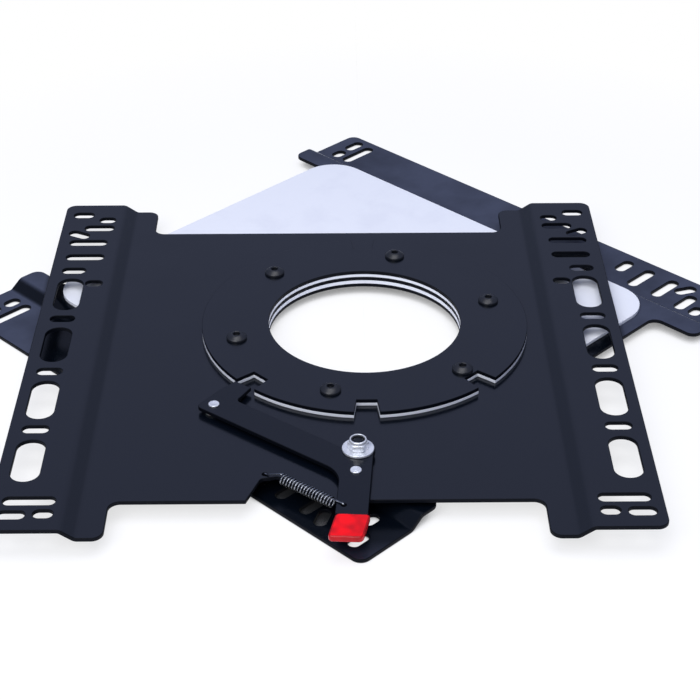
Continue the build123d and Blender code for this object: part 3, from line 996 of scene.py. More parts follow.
@dataclass
class Joggle:
    """The plates' cross-section: deck, joggle bend and flange, with the deck's underside at level 0.

    Args:
        deck: Half the deck's width at the bend.
        run: Width of the slope.
        rise: Height of the flange over the deck.
        bend: Inside radius of the bends.
        margin: How far the bends' facets run past the slope.
    """

    deck: float = 166.0
    run: float = 10.0
    rise: float = 7.0
    bend: float = 4.0
    margin: int = 4

    def level(self, u: float, first: float, start: float, radii: tuple[float, float]) -> float:
        """Height of one face of the sheet.

        Args:
            u: Distance from the plate's centreline.
            first: Place of the first bend's corner.
            start: Level of the deck's face.
            radii: Radii of the first and the second bend.

        Returns:
            The face's level at u.
        """
        slope = math.atan2(self.rise, self.run)
        second, end = first + self.run, start + self.rise
        reach_1, reach_2 = (r * math.tan(slope / 2) for r in radii)
        if u <= first - reach_1:
            return start
        if u < first + reach_1 * math.cos(slope):
            off = u - (first - reach_1)
            return start + radii[0] - math.sqrt(radii[0] ** 2 - off**2)
        if u <= second - reach_2 * math.cos(slope):
            return start + (u - first) * math.tan(slope)
        if u < second + reach_2:
            off = u - (second + reach_2)
            return end - radii[1] + math.sqrt(radii[1] ** 2 - off**2)
        return end

    def at(self, u: float, share: float) -> float:
        """Height inside the sheet.

        Args:
            u: Distance from the plate's centreline.
            share: 0 at the underside, 1 at the top.

        Returns:
            The level.
        """
        slope = math.atan2(self.rise, self.run)
        shift = SHEET * math.tan(slope / 2)
        outer = self.bend + SHEET
        low = self.level(abs(u), self.deck, 0.0, (outer, self.bend))
        high = self.level(abs(u), self.deck - shift, SHEET, (self.bend, outer))
        return low + share * (high - low)

    def cuts(self) -> list[Plane]:
        """Planes across the bends, a millimetre apart, on both sides of the plate."""
        steps = range(int(self.deck) - self.margin, int(self.deck + self.run) + self.margin)
        return [(Vector((side * u, 0.0, 0.0)), Vector((1.0, 0.0, 0.0))) for u in steps for side in (-1, 1)]


@dataclass
class JoggledPlate:
    """One of the two bent and slotted plates.

    Args:
        node: Its CAD node.
        body: Its body.
        finish: Its finish.
        turn: Its turn about the swivel axis.
        flanges_down: Whether the flanges lie below the deck.
        centre: The blank's middle, from the swivel axis, in the plate's own axes.
        edge: Radius of the coated edges.
        section: Its cross-section.
    """

    node: str
    body: Body
    finish: Finish
    turn: float = 0.0
    flanges_down: bool = False
    centre: tuple[float, float] = (-28.5, -36.5)
    edge: float = 0.5
    section: Joggle = field(default_factory=Joggle)

    def build(self) -> list[Piece]:
        """Make the plate from its node's outline.

        Returns:
            The dressed plate.
        """
        low, high = levels(self.node)

        def bent(point: Vector) -> Vector:
            """Lift a point of the flat blank to the bent sheet."""
            share = point.z / SHEET
            if self.flanges_down:
                level = high - self.section.at(point.x, 1 - share)
            else:
                level = low + self.section.at(point.x, share)
            return Vector((point.x, point.y, level))

        place = Matrix.Rotation(self.turn, 4, "Z") @ Matrix.Translation((*self.centre, 0.0))
        back = place.inverted()
        outlines = [[back @ p for p in outline] for outline in node_outlines(self.node)]
        draft = Draft()
        add_slab(draft, outlines, 0.0, SHEET, self.edge)
        mesh = draft.mesh(f"{self.node}_sheet", place, self.section.cuts(), bent)
        return [show(mesh, self.node, self.body, self.finish, CUT_EDGE)]


@dataclass
class TurningStack:
    """The stack that the seat plate turns on: slip sheet, hub, slip ring and clamp ring.

    Args:
        clamp_edge: Radius of the clamp ring's edges.
        inner_edge: Radius of the other pieces' edges.
    """

    clamp_edge: float = 0.25
    inner_edge: float = 0.3

    def build(self) -> list[Piece]:
        """Make the four flat pieces.

        Returns:
            The dressed pieces, from the bottom up.
        """
        return [
            flat_piece("slip_sheet", Body.BASE, SLIP_ACETAL, self.inner_edge),
            flat_piece("hub_ring", Body.BASE, POWDER_COAT, self.inner_edge, CUT_EDGE),
            flat_piece("slip_ring", Body.BASE, SLIP_ACETAL, self.inner_edge),
            flat_piece("clamp_ring", Body.BASE, POWDER_COAT, self.clamp_edge, CUT_EDGE),
        ]


@dataclass
class ClampScrews:
    """The button head screws that clamp the stack, and their weld nuts under the lower deck.

    Args:
        count: Number of screws.
        circle: Radius of their circle.
        start: Bearing of the first screw, in degrees.
        twist: Turn of each socket against the one before, in radians, as tightening leaves them.
        shank: Shank radius.
        length: Length under the head.
        chamfer: Chamfer at the shank's end.
        head: Radius of the head, drawn a little wider than the CAD's, as the photograph has it.
        head_height: Height of the head.
        rim_share: Share of that height below the dome.
        crown: Width of the dome's flat round the socket.
        dome_steps: Number of facets up the dome.
        socket: Half the width across the socket's flats.
        socket_depth: Depth of the socket.
        socket_point: Depth of the drill's point below it.
        nut: Half the width across the weld nut's flats.
        thread_gap: Gap between the shank and the nut's bore.
        bead: Height of the weld bead on the nut.
    """

    count: int = 6
    circle: float = 101.5
    start: float = 30.0
    twist: float = 0.37
    shank: float = 4.0
    length: float = 20.0
    chamfer: float = 0.6
    head: float = 7.8
    head_height: float = 4.4
    rim_share: float = 0.36
    crown: float = 1.25
    dome_steps: int = 8
    socket: float = 2.5
    socket_depth: float = 2.6
    socket_point: float = 0.5
    nut: float = 7.0
    thread_gap: float = 0.05
    bead: float = 1.3

    def places(self, level: float, twist: float = 0.0) -> list[Matrix]:
        """Place every screw on the circle.

        Args:
            level: Level of the pieces' own zero.
            twist: Turn from one piece to the next.

        Returns:
            One placing for each screw.
        """
        made = []
        for number in range(self.count):
            bearing = math.radians(self.start + 360.0 * number / self.count)
            x, y = self.circle * math.cos(bearing), self.circle * math.sin(bearing)
            made.append(turn_about_z(bearing + number * twist, x, y, level))
        return made

    def screw_rings(self) -> list[Ring]:
        """List the rings of one screw, from its tip up over the head and down into the socket.

        Offsets of a few tenths of a millimetre, here and in the other profiles, are rolled edges.

        Returns:
            The rings.
        """
        top, rim, crown = self.head_height, self.head_height * self.rim_share, self.socket + self.crown
        middle = (crown**2 + top**2 - self.head**2 - rim**2) / (2 * (top - rim))
        radius = math.hypot(crown, top - middle)
        first, last = math.asin(self.head / radius), math.asin(crown / radius)
        rings = [
            Ring(self.shank - self.chamfer, -self.length),
            Ring(self.shank, -self.length + self.chamfer),
            Ring(self.shank, -0.2),
            Ring(self.head - 0.3, 0.0),
            Ring(self.head, 0.25),
        ]
        for step in range(self.dome_steps + 1):
            angle = first + (last - first) * step / self.dome_steps
            rings.append(Ring(radius * math.sin(angle), middle + radius * math.cos(angle)))
        rings += [
            Ring(self.socket + 0.45, top, hexagon=0.5),
            Ring(self.socket, top - 0.4, hexagon=1.0),
            Ring(self.socket, top - self.socket_depth, hexagon=1.0),
        ]
        return rings

    def nut_rings(self) -> list[Ring]:
        """List the rings of one weld nut, with its weld bead against the deck.

        Returns:
            The closed profile's rings.
        """
        low, high = levels("weld_nuts")
        bore, weld = self.shank + self.thread_gap, high - self.thread_gap
        return [
            Ring(bore + 0.5, low),
            Ring(self.nut - 0.4, low, hexagon=0.3),
            Ring(self.nut, low + 0.3, hexagon=1.0, droop=-0.5),
            Ring(self.nut, high - self.bead, hexagon=1.0),
            Ring(self.nut + 0.25, high - 0.7, hexagon=0.9),
            Ring(self.nut + 0.2, weld, hexagon=0.9),
            Ring(bore, weld),
            Ring(bore, low + 0.5),
        ]

    def build(self) -> list[Piece]:
        """Make the screws and their nuts.

        Returns:
            The two dressed sets.
        """
        ends = (-self.length, self.head_height - self.socket_depth - self.socket_point)
        seats = self.places(levels("clamp_ring")[1], self.twist)
        under = self.places(0.0)
        return [
            turned_piece(
                "clamp_screw_set", "clamp_screws", Body.BASE, BLACK_OXIDE, self.screw_rings(), seats, ends
            ),
            turned_piece("weld_nut_set", "weld_nuts", Body.BASE, POWDER_COAT, self.nut_rings(), under),
        ]


@dataclass
class LatchPivot:
    """The latch's pivot: pressed stud, nylon spacer, washer and lock nut.

    Args:
        axis: The pivot's place in plan, in millimetres.
        stud: Stud radius.
        stud_head: Radius of the stud's flush head.
        head_height: Height of that head.
        pitch: Thread pitch.
        depth_share: Depth of the thread, as a share of its pitch.
        thread_end: Length of the plain end past the thread.
        end_chamfer: Chamfer of that end.
        end_dish: Depth of the dish in it.
        nut: Half the width across the nut's flats.
        corner_drop: How far the nut's chamfer drops for each millimetre towards its corners.
        collar: Radius of the nut's collar.
        collar_height: Height of the collar.
        wall: Wall of the collar.
        fit: Gap between the thread and the nut.
        disc_fit: Gap between the stud and the discs on it.
        spacer_edge: Radius of the spacer's edges.
        washer_edge: Radius of the washer's edges.
        insert_edge: Radius of the nylon ring's edges.
        segments: Number of points in a ring.
        fine_segments: Number of points in a ring of the discs and the nut.
    """

    axis: tuple[float, float]
    stud: float = 4.0
    stud_head: float = 6.0
    head_height: float = 1.2
    pitch: float = 1.25
    depth_share: float = 0.35
    thread_end: float = 0.6
    end_chamfer: float = 0.7
    end_dish: float = 0.15
    nut: float = 6.5
    corner_drop: float = 0.58
    collar: float = 6.1
    collar_height: float = 2.6
    wall: float = 1.2
    fit: float = 0.05
    disc_fit: float = 0.08
    spacer_edge: float = 0.3
    washer_edge: float = 0.35
    insert_edge: float = 0.25
    segments: int = 48
    fine_segments: int = 72

    def stud_rings(self) -> list[Ring]:
        """List the stud's rings, threaded where the nut grips it.

        Returns:
            The rings, from its head up.
        """
        low, high = levels("pivot_stud")
        level = levels("pivot_nut")[0] - self.pitch
        rings = [
            Ring(self.stud_head, low),
            Ring(self.stud_head, low + self.head_height),
            Ring(self.stud, low + self.head_height + 0.2),
            Ring(self.stud, level),
        ]
        while level + self.pitch < high - self.thread_end:
            rings.append(Ring(self.stud - self.pitch * self.depth_share, level + self.pitch * 0.5))
            rings.append(Ring(self.stud - self.fit, level + self.pitch))
            level += self.pitch
        rings.append(Ring(self.stud - self.end_chamfer, high))
        return rings

    def nut_rings(self) -> list[Ring]:
        """List the lock nut's rings: a chamfered hexagon with a rolled collar.

        Returns:
            The closed profile's rings.
        """
        low, high = levels("pivot_nut")
        shoulder = high - self.collar_height
        bore, lip = self.stud + self.fit, self.collar - self.wall
        return [
            Ring(bore + 0.4, low),
            Ring(self.nut - 0.3, low),
            Ring(self.nut, low + 0.15, hexagon=1.0, droop=-self.corner_drop),
            Ring(self.nut, shoulder, hexagon=1.0, droop=self.corner_drop),
            Ring(self.collar + 0.25, shoulder + 0.1),
            Ring(self.collar, shoulder + 0.35),
            Ring(self.collar, high - 0.8),
            Ring(self.collar - 0.2, high - 0.3),
            Ring(self.collar - 0.6, high),
            Ring(lip + 0.3, high - 0.05),
            Ring(lip, high - 0.35),
            Ring(lip, shoulder + 0.05),
            Ring(bore, shoulder),
            Ring(bore, low + 0.4),
        ]

    def build(self) -> list[Piece]:
        """Make every piece of the pivot, turned with the seat plate.

        Returns:
            The dressed pieces.
        """
        places = [turn_about_z(SEAT_TURN, *self.axis)]
        low, high = levels("pivot_stud")
        stud_ends = (low, high - self.end_dish)
        hole, bore = self.stud + self.disc_fit, self.stud + self.fit
        spacer = washer_rings(half_width("pivot_spacer"), hole, *levels("pivot_spacer"), self.spacer_edge)
        washer = washer_rings(half_width("pivot_washer"), hole, *levels("pivot_washer"), self.washer_edge)
        outer = self.collar - self.wall - self.fit
        insert = washer_rings(outer, bore, *levels("nut_insert"), self.insert_edge)
        rows = (
            ("pivot_stud_turned", "pivot_stud", DARK_STUD, self.stud_rings(), stud_ends, self.segments),
            ("pivot_spacer_disc", "pivot_spacer", NATURAL_NYLON, spacer, None, self.fine_segments),
            ("pivot_washer_disc", "pivot_washer", BRIGHT_ZINC, washer, None, self.fine_segments),
            ("pivot_lock_nut", "pivot_nut", BRIGHT_ZINC, self.nut_rings(), None, self.fine_segments),
            ("nut_insert_ring", "nut_insert", DARK_NYLON, insert, None, self.segments),
        )
        return [
            turned_piece(name, node, Body.SEAT, finish, rings, places, ends, segments)
            for name, node, finish, rings, ends, segments in rows
        ]


@dataclass
class LatchLever:
    """The bell crank latch with its two rivets, glide pads and soft grip.

    Args:
        axis: The pivot's place in plan, in millimetres.
        edge: Radius of the lever's edges.
        inner_corner: The corner between arm and handle, from the pivot along and across the handle.
        inner_bend: Radius of the bend in that corner.
        grip_reach: From the pivot to the grip's mouth, along the handle.
        grip_side: Offset of the grip from the handle's middle.
        grip_skew: How far the grip's sides run off the handle's direction, in degrees.
        grip_length: Length of the grip.
        grip_width: Width of the grip.
        grip_corner: Corner radius of the grip in plan.
        grip_edge: Radius of the grip's long edges.
        grip_waist: How much thinner the grip is behind its lip, as a share.
        grip_lip: Length of the lip, as a share of the grip's.
        grip_crown: How much the grip's faces fall off towards its sides, as a share.
        grip_flat: Share of that fall that the middle of the faces is spared.
        grip_facets: Spacing of the grip's facets along and across it.
        rivet_head: Radius of a rivet's head.
        rivet_shank: Radius of a rivet's shank.
        set_mark: Depth of the set mark in a rivet's head.
        pad_edge: Radius of a glide pad's edges.
    """

    axis: tuple[float, float]
    edge: float = 0.45
    inner_corner: tuple[float, float, float] = (26.1, -11.0, 0.0)
    inner_bend: float = 22.0
    grip_reach: float = 72.82
    grip_side: float = 1.2
    grip_skew: float = -8.4
    grip_length: float = 25.0
    grip_width: float = 23.4
    grip_corner: float = 3.2
    grip_edge: float = 1.3
    grip_waist: float = 0.03
    grip_lip: float = 0.16
    grip_crown: float = 0.05
    grip_flat: float = 0.02
    grip_facets: tuple[int, int] = (2, 3)
    rivet_head: float = 4.0
    rivet_shank: float = 2.5
    set_mark: float = 0.3
    pad_edge: float = 0.4

    def grip_outline(self, steps: int = 8) -> Outline:
        """Draw the grip in plan, before its sides are skewed.

        Args:
            steps: Number of facets in each corner.

        Returns:
            The outline, anticlockwise.
        """
        corner, side = self.grip_corner, self.grip_width / 2 - self.grip_corner
        tip = self.grip_length - corner
        middles = ((tip, -side, -90.0), (tip, side, 0.0), (corner, side, 90.0), (corner, -side, 180.0))
        outline = []
        for x, y, start in middles:
            for step in range(steps + 1):
                angle = math.radians(start + 90.0 * step / steps)
                outline.append(Vector((x + corner * math.cos(angle), y + corner * math.sin(angle), 0.0)))
        return outline

    def build_grip(self, handle: Matrix) -> Piece:
        """Make the dip-moulded cap, slightly crowned, with a rolled lip at its mouth.

        Args:
            handle: The handle's axes, with X from the pivot along it.

        Returns:
            The dressed grip.
        """
        low, high = levels("lever_grip")
        middle, half = (low + high) / 2, self.grip_width / 2
        run_off = math.tan(math.radians(self.grip_skew))

        def crowned(point: Vector) -> Vector:
            """Skew the cap, draw it in behind its lip and let its faces swell along the middle."""
            off_middle = min(1.0, abs(point.y) / half)
            past_lip = min(1.0, point.x / self.grip_length / self.grip_lip)
            waist = 1 - self.grip_waist + self.grip_waist * math.cos(math.pi * past_lip)
            swell = 1 - self.grip_crown + self.grip_crown * (1 - off_middle**2)
            level = middle + (point.z - middle) * min(1.0, waist * swell + self.grip_flat)
            return Vector((point.x, point.y + point.x * run_off, level))

        along, across = self.grip_facets
        outermost = int(half / across) * across
        lengthwise = range(along, int(self.grip_length), along)
        crosswise = range(-outermost, outermost + 1, across)
        cuts = [(Vector((x, 0.0, 0.0)), Vector((1.0, 0.0, 0.0))) for x in lengthwise]
        cuts += [(Vector((0.0, y, 0.0)), Vector((0.0, 1.0, 0.0))) for y in crosswise]
        draft = Draft()
        add_slab(draft, [self.grip_outline()], low, high, self.grip_edge, steps=6)
        place = handle @ Matrix.Translation((self.grip_reach, self.grip_side, 0.0))
        mesh = draft.mesh("lever_grip_cap", place, cuts, crowned)
        # The grip's edges and sides get the darker red, painted as shade.
        return show(mesh, "lever_grip", Body.LATCH, DIPPED_VINYL, VINYL_SHADED_SIDES)

    def rivet_rings(self, bottom: float, top: float) -> list[Ring]:
        """List the rings of a flat-headed rivet with a shallow set mark in its head.

        Args:
            bottom: Level of its lower end.
            top: Level of its head's top.

        Returns:
            The rings.
        """
        seat = levels("latch_lever")[1]
        head = self.rivet_head
        return [
            Ring(self.rivet_shank, bottom),
            Ring(self.rivet_shank, seat - 0.1),
            Ring(head - 0.2, seat),
            Ring(head, seat + 0.2),
            Ring(head, top - 0.5),
            Ring(head - 0.2, top - 0.15),
            Ring(head - 0.6, top),
            Ring(head * 0.62, top - 0.02),
            Ring(head * 0.5, top - 0.25),
        ]

    def build_fitting(self, node: str, is_rivet: bool) -> Piece:
        """Make a rivet or the glide pad under it.

        Args:
            node: Its CAD node.
            is_rivet: Whether it is a rivet.

        Returns:
            The dressed piece.
        """
        bottom, top = levels(node)
        middle = sum(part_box(node), Vector()) / 2 / MM
        places = [turn_about_z(0.0, middle.x, middle.y)]
        if is_rivet:
            rings, ends = self.rivet_rings(bottom, top), (bottom, top - self.set_mark)
            return turned_piece(f"{node}_set", node, Body.LATCH, BRIGHT_ZINC, rings, places, ends)
        rings = washer_rings(half_width(node), self.rivet_shank, bottom, top, self.pad_edge)
        return turned_piece(f"{node}_disc", node, Body.LATCH, NATURAL_NYLON, rings, places)

    def build(self) -> list[Piece]:
        """Make every piece of the latch.

        Returns:
            The dressed pieces.
        """
        handle = turn_about_z(HANDLE_BEARING, *self.axis)
        eased = (handle @ Vector(self.inner_corner), self.inner_bend)
        made = [flat_piece("latch_lever", Body.LATCH, LEVER_COAT, self.edge, CUT_EDGE, eased)]
        made.append(self.build_grip(handle))
        for kind in ("rivet", "pad"):
            made += [self.build_fitting(f"{end}_{kind}", kind == "rivet") for end in ("tooth", "handle")]
        return made


@dataclass
class ReturnSpring:
    """The tension spring between the seat plate's deck and the latch handle.

    Args:
        pivot: The latch pivot's place in plan, in millimetres.
        anchor: The hole in the deck, in the seat plate's own axes.
        hole: The hole in the handle, from the pivot along and across the handle.
        wire: Wire radius.
        coil: Radius of the coil, to the wire's middle.
        turns: Number of turns.
        turn_steps: Number of facets in a turn.
        deck_lead: From the deck's hole to the coil.
        deck_flat: Length of the hook that lies on the deck.
        handle_lead: From the coil to the handle's hole.
        bend: Radius of the hooks' bends.
        clearance: Gap between the hook and the deck, and between the hooks' level and the coil's top.
    """

    pivot: tuple[float, float]
    anchor: tuple[float, float, float] = (-71.463, -191.8, 0.0)
    hole: tuple[float, float, float] = (63.024, -5.8, 0.0)
    wire: float = 0.6
    coil: float = 3.4
    turns: int = 18
    turn_steps: int = 20
    deck_lead: float = 14.9
    deck_flat: float = 2.4
    handle_lead: float = 9.0
    bend: float = 1.0
    clearance: float = 0.1

    def axis_level(self) -> float:
        """Level of the coil's axis, below the hooks that leave at its top."""
        return levels("return_spring")[1] - self.wire - (self.coil - self.clearance)

    def rounded(self, corners: Sequence[Vector], steps: int = 6) -> list[Vector]:
        """Round the inner corners of a bent wire.

        Args:
            corners: The wire's ends and corners.
            steps: Number of facets in each bend.

        Returns:
            Points along the wire.
        """
        path = [corners[0]]
        for before, corner, after in zip(corners, corners[1:], corners[2:]):
            start = corner + (before - corner).normalized() * self.bend
            end = corner + (after - corner).normalized() * self.bend
            for step in range(steps + 1):
                share = step / steps
                path.append(start.lerp(corner, share).lerp(corner.lerp(end, share), share))
        path.append(corners[-1])
        return path

    def path(self, length: float) -> list[Vector]:
        """Draw the wire's middle line, with X from hole to hole and the coil's axis at level 0.

        Args:
            length: Distance between the holes.

        Returns:
            Points along the wire, from the deck's hook to the handle's.
        """
        axis, top = self.axis_level(), self.coil - self.clearance
        tail = levels("return_spring")[0] - axis
        deck = levels("upper_plate")[0] + SHEET + self.wire + self.clearance - axis
        lever = levels("latch_lever")[0] - axis
        start, end = self.deck_lead, length - self.handle_lead
        rise = start - self.wire * 2
        deck_hook = ((0.0, tail), (0.0, deck), (self.deck_flat, deck), (rise, top), (start, top))
        handle_hook = ((end, top), (length, top), (length, lever))
        helix = []
        count = self.turns * self.turn_steps
        for step in range(1, count):
            share = step / count
            angle = math.pi / 2 - 2 * math.pi * self.turns * share
            x = start + (end - start) * share
            helix.append(Vector((x, self.coil * math.cos(angle), self.coil * math.sin(angle))))
        before, after = (
            self.rounded([Vector((x, 0.0, z)) for x, z in hook]) for hook in (deck_hook, handle_hook)
        )
        return before + helix + after

    def tube(self, draft: Draft, path: Sequence[Vector], sides: int = 10) -> None:
        """Sweep the wire along its middle line.

        Args:
            draft: The draft to add to.
            path: Points along the wire.
            sides: Number of facets round the wire.
        """
        side = Vector((0.0, 1.0, 0.0))
        rows = []
        for i, point in enumerate(path):
            ahead = (path[min(i + 1, len(path) - 1)] - path[max(i - 1, 0)]).normalized()
            side = (side - ahead * side.dot(ahead)).normalized()
            third = ahead.cross(side)
            ring = []
            for k in range(sides):
                angle = 2 * math.pi * k / sides
                beside, over = self.wire * math.cos(angle), self.wire * math.sin(angle)
                ring.append(point + side * beside + third * over)
            rows.append(draft.loop(ring))
        for lower, upper in zip(rows, rows[1:]):
            draft.bridge(lower, upper)
        draft.faces.append(tuple(reversed(rows[0])))
        draft.faces.append(tuple(rows[-1]))

    def build(self) -> list[Piece]:
        """Make the spring between the seat plate and the latch.

        Returns:
            The dressed spring.
        """
        level = self.axis_level()
        deck = Matrix.Rotation(SEAT_TURN, 4, "Z") @ Vector(self.anchor)
        handle = turn_about_z(HANDLE_BEARING, *self.pivot) @ Vector(self.hole)
        run = handle - deck
        draft = Draft()
        self.tube(draft, self.path(run.length))
        place = turn_about_z(math.atan2(run.y, run.x), deck.x, deck.y, level)
        made = show(draft.mesh("return_spring_wire", place), "return_spring", None, DRAWN_WIRE)
        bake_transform(made)
        return [made]


@dataclass(frozen=True)
class Softbox:
    """A soft lamp that faces the object.

    Args:
        name: The lamp's name.
        bearing: Its bearing from the camera's line of sight, in degrees; 0 is straight behind the object.
        reach: Its distance in plan, in metres.
        height: Its height, in metres.
        size: Its width and height, in metres.
        power: Its power, in watts.
    """

    name: str
    bearing: float
    reach: float
    height: float
    size: tuple[float, float]
    power: float

    def hang(self, heading: float) -> None:
        """Hang the lamp.

        Args:
            heading: The camera's turn about the vertical, in degrees.
        """
        data = bpy.data.lights.new(self.name, "AREA")
        data.shape = "RECTANGLE"
        data.size, data.size_y = self.size
        data.energy = self.power
        lamp = place_scene_object(self.name, data)
        turn = math.radians(heading + 90.0 - self.bearing)
        place = Vector((math.cos(turn) * self.reach, math.sin(turn) * self.reach, self.height))
        facing = (-place).to_track_quat("-Z", "Y").to_matrix().to_4x4()
        lamp.matrix_world = Matrix.Translation(place) @ facing


@dataclass
class Studio:
    """Pale floor, soft light from above and in front, and the photograph's camera.

    Args:
        camera_place: The camera's place, in metres.
        heading: The camera's turn about the vertical, in degrees.
        tilt: How far it looks below level, in degrees.
        roll: Its turn about its own line of sight, in degrees.
        lens: Focal length on the sensor, in millimetres.
        sensor: Width of the sensor, in millimetres.
        sight: How far the camera sees, in metres.
        floor_size: Width of the floor, in metres.
        floor_drop: How far the floor lies below the object, so that their faces don't mix, in metres.
        floor_colours: The floor paper's darker and lighter tone.
        fibre_mm: Width of the paper's tones.
        shadow_share: How much of the floor's own light and shade the camera sees.
        shadow_reach: How far from the swivel axis the shadow runs out, from and to, in metres.
        mirror_share: How much of the floor's plain white reflections see.
        contact: Reach of the painted contact shadow, an occlusion darkening of the floor's white under
            close pieces, in metres.
        contact_open: Shares of open sky between which the contact shadow fades.
        contact_levels: The floor's white at those shares.
        shade_colour: Dark colour painted on the floor as the latch's shade, seen through the base's slots.
        shade_place: Middle of that shade.
        shade_reach: Where that shade starts to give way to the white floor, and where it ends, in metres.
        shade_open: Shares of open sky between which that shade thins.
        shade_levels: The floor's share of its own tone at those shares.
        base_edge: From where to where the shade ends at the base's edge too, in metres.
        world_level: Strength of the light all round.
        horizon: Colour of that light near the floor.
        sky: Colour of that light from about 35 degrees up.
        sky_span: Heights of those two colours, as the sine of their angle over the floor.
        lamps: The softboxes overhead and in front.
    """

    camera_place: tuple[float, float, float] = (0.83822, 0.81053, 0.74562)
    heading: float = 134.594
    tilt: float = 32.826
    roll: float = 0.126
    lens: float = 90.81
    sensor: float = 36.0
    sight: float = 200.0
    floor_size: float = 120.0
    floor_drop: float = 0.0002
    floor_colours: tuple[str, str] = ("#f7f7f7", "#fafafa")
    fibre_mm: float = 300.0
    shadow_share: float = 0.28
    shadow_reach: tuple[float, float] = (0.35, 0.6)
    mirror_share: float = 0.2
    contact: float = 0.016
    contact_open: tuple[float, float] = (0.25, 0.55)
    contact_levels: tuple[float, float] = (0.3, 1.0)
    shade_colour: str = "#0b0d10"
    shade_place: tuple[float, float, float] = (0.172, 0.085, 0.0)
    shade_reach: tuple[float, float] = (0.062, 0.072)
    shade_open: tuple[float, float] = (0.4, 0.8)
    shade_levels: tuple[float, float] = (0.02, 0.45)
    base_edge: tuple[float, float] = (0.193, 0.196)
    world_level: float = 0.66
    horizon: str = "#6f7a93"
    sky: str = "#c1cbf4"
    sky_span: tuple[float, float] = (0.05, 0.55)
    lamps: tuple[Softbox, ...] = (
        Softbox("softbox_overhead", 180.0, 0.25, 1.8, (1.4, 1.2), 17.0),
        Softbox("softbox_front", 205.0, 1.5, 1.35, (1.4, 1.0), 21.0),
    )

    def build_camera(self) -> None:
        """Set up the photograph's camera."""
        data = bpy.data.cameras.new("photo_camera")
        data.lens, data.sensor_width, data.clip_end = self.lens, self.sensor, self.sight
        camera = place_scene_object("photo_camera", data)
        aim = Matrix.Translation(self.camera_place)
        for angle, axis in ((self.heading, "Z"), (90.0 - self.tilt, "X"), (-self.roll, "Z")):
            aim = aim @ Matrix.Rotation(math.radians(angle), 4, axis)
        camera.matrix_world = aim
        bpy.context.scene.camera = camera

    def floor_paper(self) -> bpy.types.Material:
        """Make the floor's paper: white to the eye and in reflections, still taking real shadows in part,
        with a painted contact shadow and a painted dark shade under the latch.

        Returns:
            The material.
        """
        made = new_material("paper_matt_white")
        tree = made.node_tree
        place = add_node(tree, "TexCoord")["Object"]
        inputs = {"Vector": place, "Scale": per_metre(self.fibre_mm), "Detail": 3.0}
        fibres = add_node(tree, "TexNoise", inputs)["Fac"]
        stops = list(zip(PATCH_LEVELS, self.floor_colours))
        tone = add_node(tree, "ValToRGB", {"Fac": fibres}, stops)["Color"]
        distance = add_node(tree, "VectorMath", {0: place}, operation="LENGTH")["Value"]
        inputs = {0: place, 1: self.shade_place}
        to_shade = add_node(tree, "VectorMath", inputs, operation="DISTANCE")["Value"]
        outward = add_node(tree, "SeparateXYZ", {"Vector": place})["X"]
        # Occlusion near the pieces gives the painted contact shadow; occlusion at the latch's reach gives
        # the painted shade there.
        near, covered = (
            add_node(tree, "AmbientOcclusion", {"Distance": reach}, samples=8)["AO"]
            for reach in (self.contact, self.shade_reach[0])
        )
        rises = (
            (near, self.contact_open, self.contact_levels),
            (covered, self.shade_open, self.shade_levels),
            (distance, self.shadow_reach, (1.0 - self.shadow_share, 1.0)),
            (to_shade, self.shade_reach, (0.0, 1.0)),
            (outward, self.base_edge, (0.0, 1.0)),
        )
        shares = []
        for value, (start, end), (low, high) in rises:
            inputs = {"Value": value, "From Min": start, "From Max": end, "To Min": low, "To Max": high}
            shares.append(add_node(tree, "MapRange", inputs)["Result"])
        level, dim, plain, in_light, beyond = shares
        in_light = add_node(tree, "Math", {0: in_light, 1: beyond}, operation="MAXIMUM")["Value"]
        dim = add_node(tree, "Math", {0: dim, 1: in_light}, operation="MAXIMUM")["Value"]
        # Dark colour painted on the paper as the latch's shade, seen through the base's slots.
        inputs = {"Factor": dim, 6: to_linear(self.shade_colour), 7: tone}
        shaded = add_node(tree, "Mix", inputs, data_type="RGBA")[2]
        paper = add_node(tree, "BsdfDiffuse", {"Color": shaded})["BSDF"]
        # The white, dimmed by occlusion as a painted contact shadow.
        white = add_node(tree, "Emission", {"Strength": level})["Emission"]
        plain = add_node(tree, "Math", {0: plain, 1: in_light}, operation="MULTIPLY")["Value"]
        rays = add_node(tree, "LightPath")
        inputs = {0: rays["Is Glossy Ray"], 1: rays["Is Transmission Ray"]}
        mirrored = add_node(tree, "Math", inputs, operation="MAXIMUM")["Value"]
        inputs = {0: mirrored, 1: self.mirror_share}
        in_mirror = add_node(tree, "Math", inputs, operation="MULTIPLY")["Value"]
        inputs = {0: rays["Is Camera Ray"], 1: plain, 2: in_mirror}
        share = add_node(tree, "Math", inputs, operation="MULTIPLY_ADD")["Value"]
        mixed = add_node(tree, "MixShader", {0: share, 1: paper, 2: white})["Shader"]
        add_node(tree, "OutputMaterial", {"Surface": mixed})
        return made

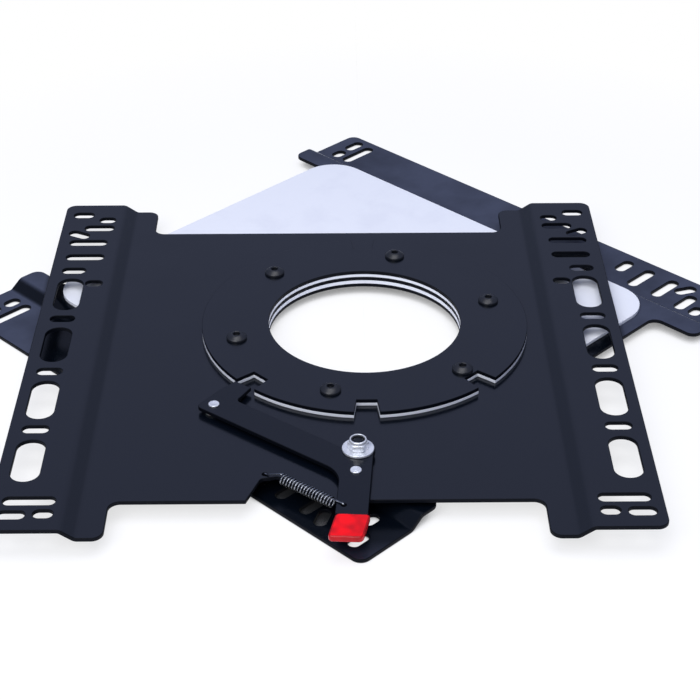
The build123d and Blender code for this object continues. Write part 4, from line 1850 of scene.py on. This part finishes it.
    def build_floor(self) -> None:
        """Lay the floor under the object."""
        half = self.floor_size / 2
        corners = [(-half, -half, 0.0), (half, -half, 0.0), (half, half, 0.0), (-half, half, 0.0)]
        mesh = bpy.data.meshes.new("floor")
        mesh.from_pydata(corners, [], [(0, 1, 2, 3)])
        mesh.materials.append(self.floor_paper())
        floor = place_scene_object("floor", mesh)
        floor.location.z = -self.floor_drop

    def build_world(self) -> None:
        """Light the scene all round, dimmer towards the horizon as a studio's far walls are."""
        world = bpy.data.worlds.new("studio")
        world.use_nodes = True
        tree = world.node_tree
        tree.nodes.clear()
        direction = add_node(tree, "TexCoord")["Generated"]
        height = add_node(tree, "SeparateXYZ", {"Vector": direction})["Z"]
        stops = list(zip(self.sky_span, (self.horizon, self.sky)))
        colour = add_node(tree, "ValToRGB", {"Fac": height}, stops)["Color"]
        inputs = {"Color": colour, "Strength": self.world_level}
        background = add_node(tree, "Background", inputs)["Background"]
        add_node(tree, "OutputWorld", {"Surface": background})
        bpy.context.scene.world = world

    def build(self) -> None:
        """Set up camera, floor and light."""
        self.build_camera()
        self.build_floor()
        self.build_world()
        for lamp in self.lamps:
            lamp.hang(self.heading)
        bpy.context.scene.view_settings.view_transform = "Standard"


def main() -> None:
    """Load the frame and build every sub-assembly over it."""
    logging.basicConfig(level=logging.INFO, format="%(name)s: %(message)s")
    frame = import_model()
    latch = next(joint for joint in frame["joints"] if joint["name"] == "latch")
    pivot = (latch["pos_m"][0] / MM, latch["pos_m"][1] / MM)
    assemblies = (
        JoggledPlate("lower_plate", Body.BASE, SHEEN_SHADE_COAT, flanges_down=True),
        JoggledPlate("upper_plate", Body.SEAT, POWDER_COAT, SEAT_TURN),
        TurningStack(),
        ClampScrews(),
        LatchPivot(pivot),
        LatchLever(pivot),
        ReturnSpring(pivot),
    )
    for assembly in assemblies:
        for piece in assembly.build():
            mesh = piece.data
            LOG.info("%s: %d faces, %s", piece.name, len(mesh.polygons), mesh.materials[0].name)
    Studio().build()


if __name__ == "__main__":
    main()
